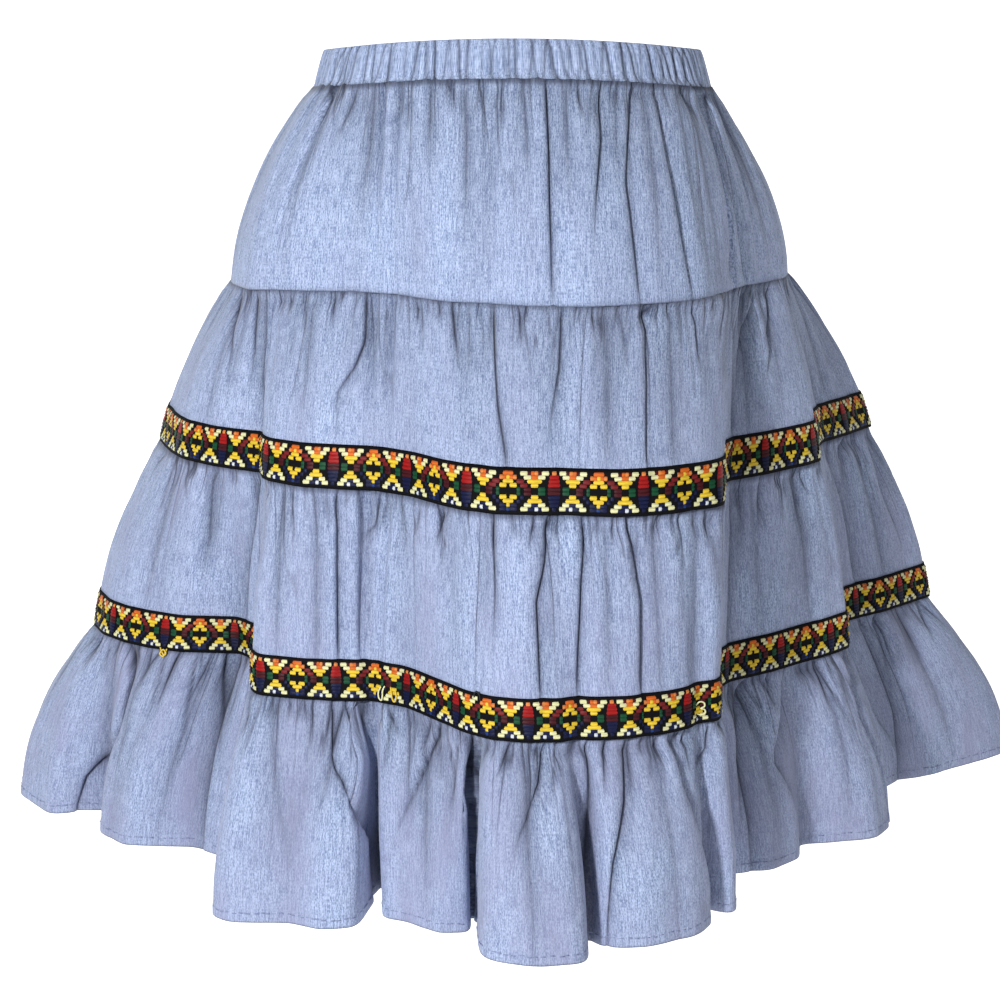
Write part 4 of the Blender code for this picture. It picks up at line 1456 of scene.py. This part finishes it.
def smooth_run(run, steps=5):
    """More points on a rounded path through a few, as a Catmull-Rom curve has them."""
    ends = [run[0], *run, run[-1]]
    made = []
    for before, a, b, after in zip(ends, ends[1:], ends[2:], ends[3:]):
        before, a, b, after = (np.array(point, float) for point in (before, a, b, after))
        for t in np.linspace(0, 1, steps, endpoint=False):
            made.append(0.5 * (2 * a + (b - before) * t
                               + (2 * before - 5 * a + 4 * b - after) * t ** 2
                               + (3 * a - before - 3 * b + after) * t ** 3))
    return made + [np.array(run[-1], float)]


def make_loose_threads(form):
    """The few threads that have come loose on the lower ribbon."""
    pieces = []
    for k, loose in enumerate(LOOSE_THREADS):
        start = metres_round(form.tier.bottom, loose.degrees)
        flat = np.array(smooth_run(loose.run_mm)) * MM + np.array([start, 0, 0])
        run, _ = on_edge(form, flat, RIBBON_LIFT)
        bm = bmesh.new()
        thread_tube(bm, run.tolist(), LOOSE_RADIUS)
        bmesh.ops.recalc_face_normals(bm, faces=bm.faces)
        piece = new_piece(f"skirt_loose_thread_{k + 1}", bm)
        colour = THREADS.get(loose.colour, BLACK_THREAD)
        finish_piece(piece, sewing_thread("loose_thread_" + loose.colour, colour), "ribbon")
        pieces.append(piece)
    return pieces


class SKIRT_OT_ribbons(bpy.types.Operator):
    """Make the two woven ribbons with their raised figures and loose threads"""

    bl_idname = "skirt.ribbons"
    bl_label = "Ribbons"

    def execute(self, context):
        for tier, name, node in ((UPPER_TIER, "skirt_upper_ribbon", "ribbon_upper"),
                                 (LOWER_TIER, "skirt_lower_ribbon", "ribbon_lower")):
            ground, figures, form = make_ribbon(tier, name, node)
            on_it = [figures]
            if tier is LOWER_TIER:
                on_it += make_loose_threads(form)
            length = round(girth_of(form.bottom), 2)
        return {"FINISHED"}


class SKIRT_OT_ruffle(bpy.types.Operator):
    """Make the deep ruffle and the stitches of its hem"""

    bl_idname = "skirt.ruffle"
    bl_label = "Ruffle"

    def execute(self, context):
        ruffle, form = make_tier(RUFFLE)
        girth = girth_of(form.bottom)
        count = int(girth / STITCHES_APART)
        bm = bmesh.new()
        bmesh.ops.create_cube(bm, size=1.0)
        bmesh.ops.scale(bm, verts=bm.verts, vec=STITCH)
        bmesh.ops.translate(bm, verts=bm.verts, vec=(STITCHES_APART, STITCHES_ABOVE_EDGE, 0))
        repeat_along(bm, count, girth / count, STITCH_WANDER)
        bend_onto(bm, form, 0.0)
        stitches = new_piece("skirt_hem_stitches", bm)
        finish_piece(stitches, sewing_thread("hem_thread", HEM_THREAD), "chambray")
        return {"FINISHED"}


class SKIRT_OT_stage(bpy.types.Operator):
    """Make the floor, the backdrop, the lamps and the camera"""

    bl_idname = "skirt.stage"
    bl_label = "Stage"

    def execute(self, context):
        stage = context.scene.skirt_stage
        bm = bmesh.new()
        bmesh.ops.create_grid(bm, x_segments=1, y_segments=BACKDROP_ROWS, size=0.5)
        for vert in bm.verts:
            t = vert.co.y + 0.5
            turn = np.clip((t - 0.4) / 0.2, 0, 1) * math.pi / 2
            run = min(t, 0.4) / 0.4 * BACKDROP_RUN
            rise = max(t - 0.6, 0) / 0.4 * BACKDROP_RISE
            vert.co = Vector((vert.co.x * BACKDROP_WIDTH,
                              BACKDROP_START + run + BACKDROP_BEND * math.sin(turn),
                              stage.floor + BACKDROP_BEND * (1 - math.cos(turn)) + rise))
        mesh = bpy.data.meshes.new("backdrop")
        bm.to_mesh(mesh)
        bm.free()
        mesh.shade_smooth()
        backdrop = bpy.data.objects.new("backdrop", mesh)
        context.collection.objects.link(backdrop)
        paper = Finish("backdrop_paper", Roughness=0.95, Base_Color=PAPER)
        place = paper.add("ShaderNodeTexCoord", {}, {}, 3)
        back = paper.add("ShaderNodeSeparateXYZ", {}, {0: place}, 1)
        glow = paper.mixed(GLOW_GAIN * (back - GLOWS_FROM), (0, 0, 0, 1), (1, 1, 1, 1))
        paper.feed("Emission Color", glow)
        paper.shader.inputs["Emission Strength"].default_value = GLOW
        backdrop.data.materials.append(paper.material)

        world = bpy.data.worlds.new("studio")
        context.scene.world = world
        world.use_nodes = True
        background = world.node_tree.nodes["Background"]
        background.inputs["Color"].default_value = (1, 1, 1, 1)
        background.inputs["Strength"].default_value = WORLD_LIGHT
        for made in LAMPS:
            lamp = bpy.data.lights.new(made.name, "AREA")
            lamp.shape = "DISK"
            lamp.size = made.size
            lamp.energy = made.power
            holder = bpy.data.objects.new(made.name, lamp)
            holder.location = made.place
            direction = Vector(made.aim) - Vector(made.place)
            holder.rotation_euler = direction.to_track_quat("-Z", "Y").to_euler()
            context.collection.objects.link(holder)

        camera = bpy.data.cameras.new("camera")
        camera.lens = stage.lens
        camera.sensor_width = 36
        camera.dof.use_dof = False
        holder = bpy.data.objects.new("camera", camera)
        holder.location = (0, -stage.distance, stage.height)
        holder.rotation_euler = (math.pi / 2 - stage.pitch, 0, stage.yaw)
        context.collection.objects.link(holder)
        context.scene.camera = holder
        context.scene.view_settings.view_transform = "Standard"
        return {"FINISHED"}


class SKIRT_PT_panel(bpy.types.Panel):
    """The skirt's pieces, in the order in which they are made"""

    bl_label = "Skirt"
    bl_idname = "SKIRT_PT_panel"
    bl_space_type = "VIEW_3D"
    bl_region_type = "UI"
    bl_category = "Skirt"

    def draw(self, context):
        for group in ("skirt_sizes", "skirt_colours", "skirt_stage"):
            settings = getattr(context.scene, group)
            for name in settings.__annotations__:
                self.layout.prop(settings, name)
        for operator in OPERATORS:
            self.layout.operator(operator.bl_idname)


OPERATORS = (SKIRT_OT_stage, SKIRT_OT_waistband, SKIRT_OT_tiers, SKIRT_OT_ruffle,
             SKIRT_OT_ribbons)
GROUPS = {"skirt_sizes": SkirtSizes, "skirt_colours": SkirtColours, "skirt_stage": StageSettings}


def register():
    for kind in (*GROUPS.values(), *OPERATORS, SKIRT_PT_panel):
        bpy.utils.register_class(kind)
    for name, group in GROUPS.items():
        setattr(bpy.types.Scene, name, bpy.props.PointerProperty(type=group))


def unregister():
    for name in GROUPS:
        delattr(bpy.types.Scene, name)
    for kind in (SKIRT_PT_panel, *reversed(OPERATORS), *reversed(GROUPS.values())):
        bpy.utils.unregister_class(kind)


def main():
    register()
    for operator in OPERATORS:
        group, name = operator.bl_idname.split(".")
        getattr(getattr(bpy.ops, group), name)()


if __name__ == "__main__":
    main()
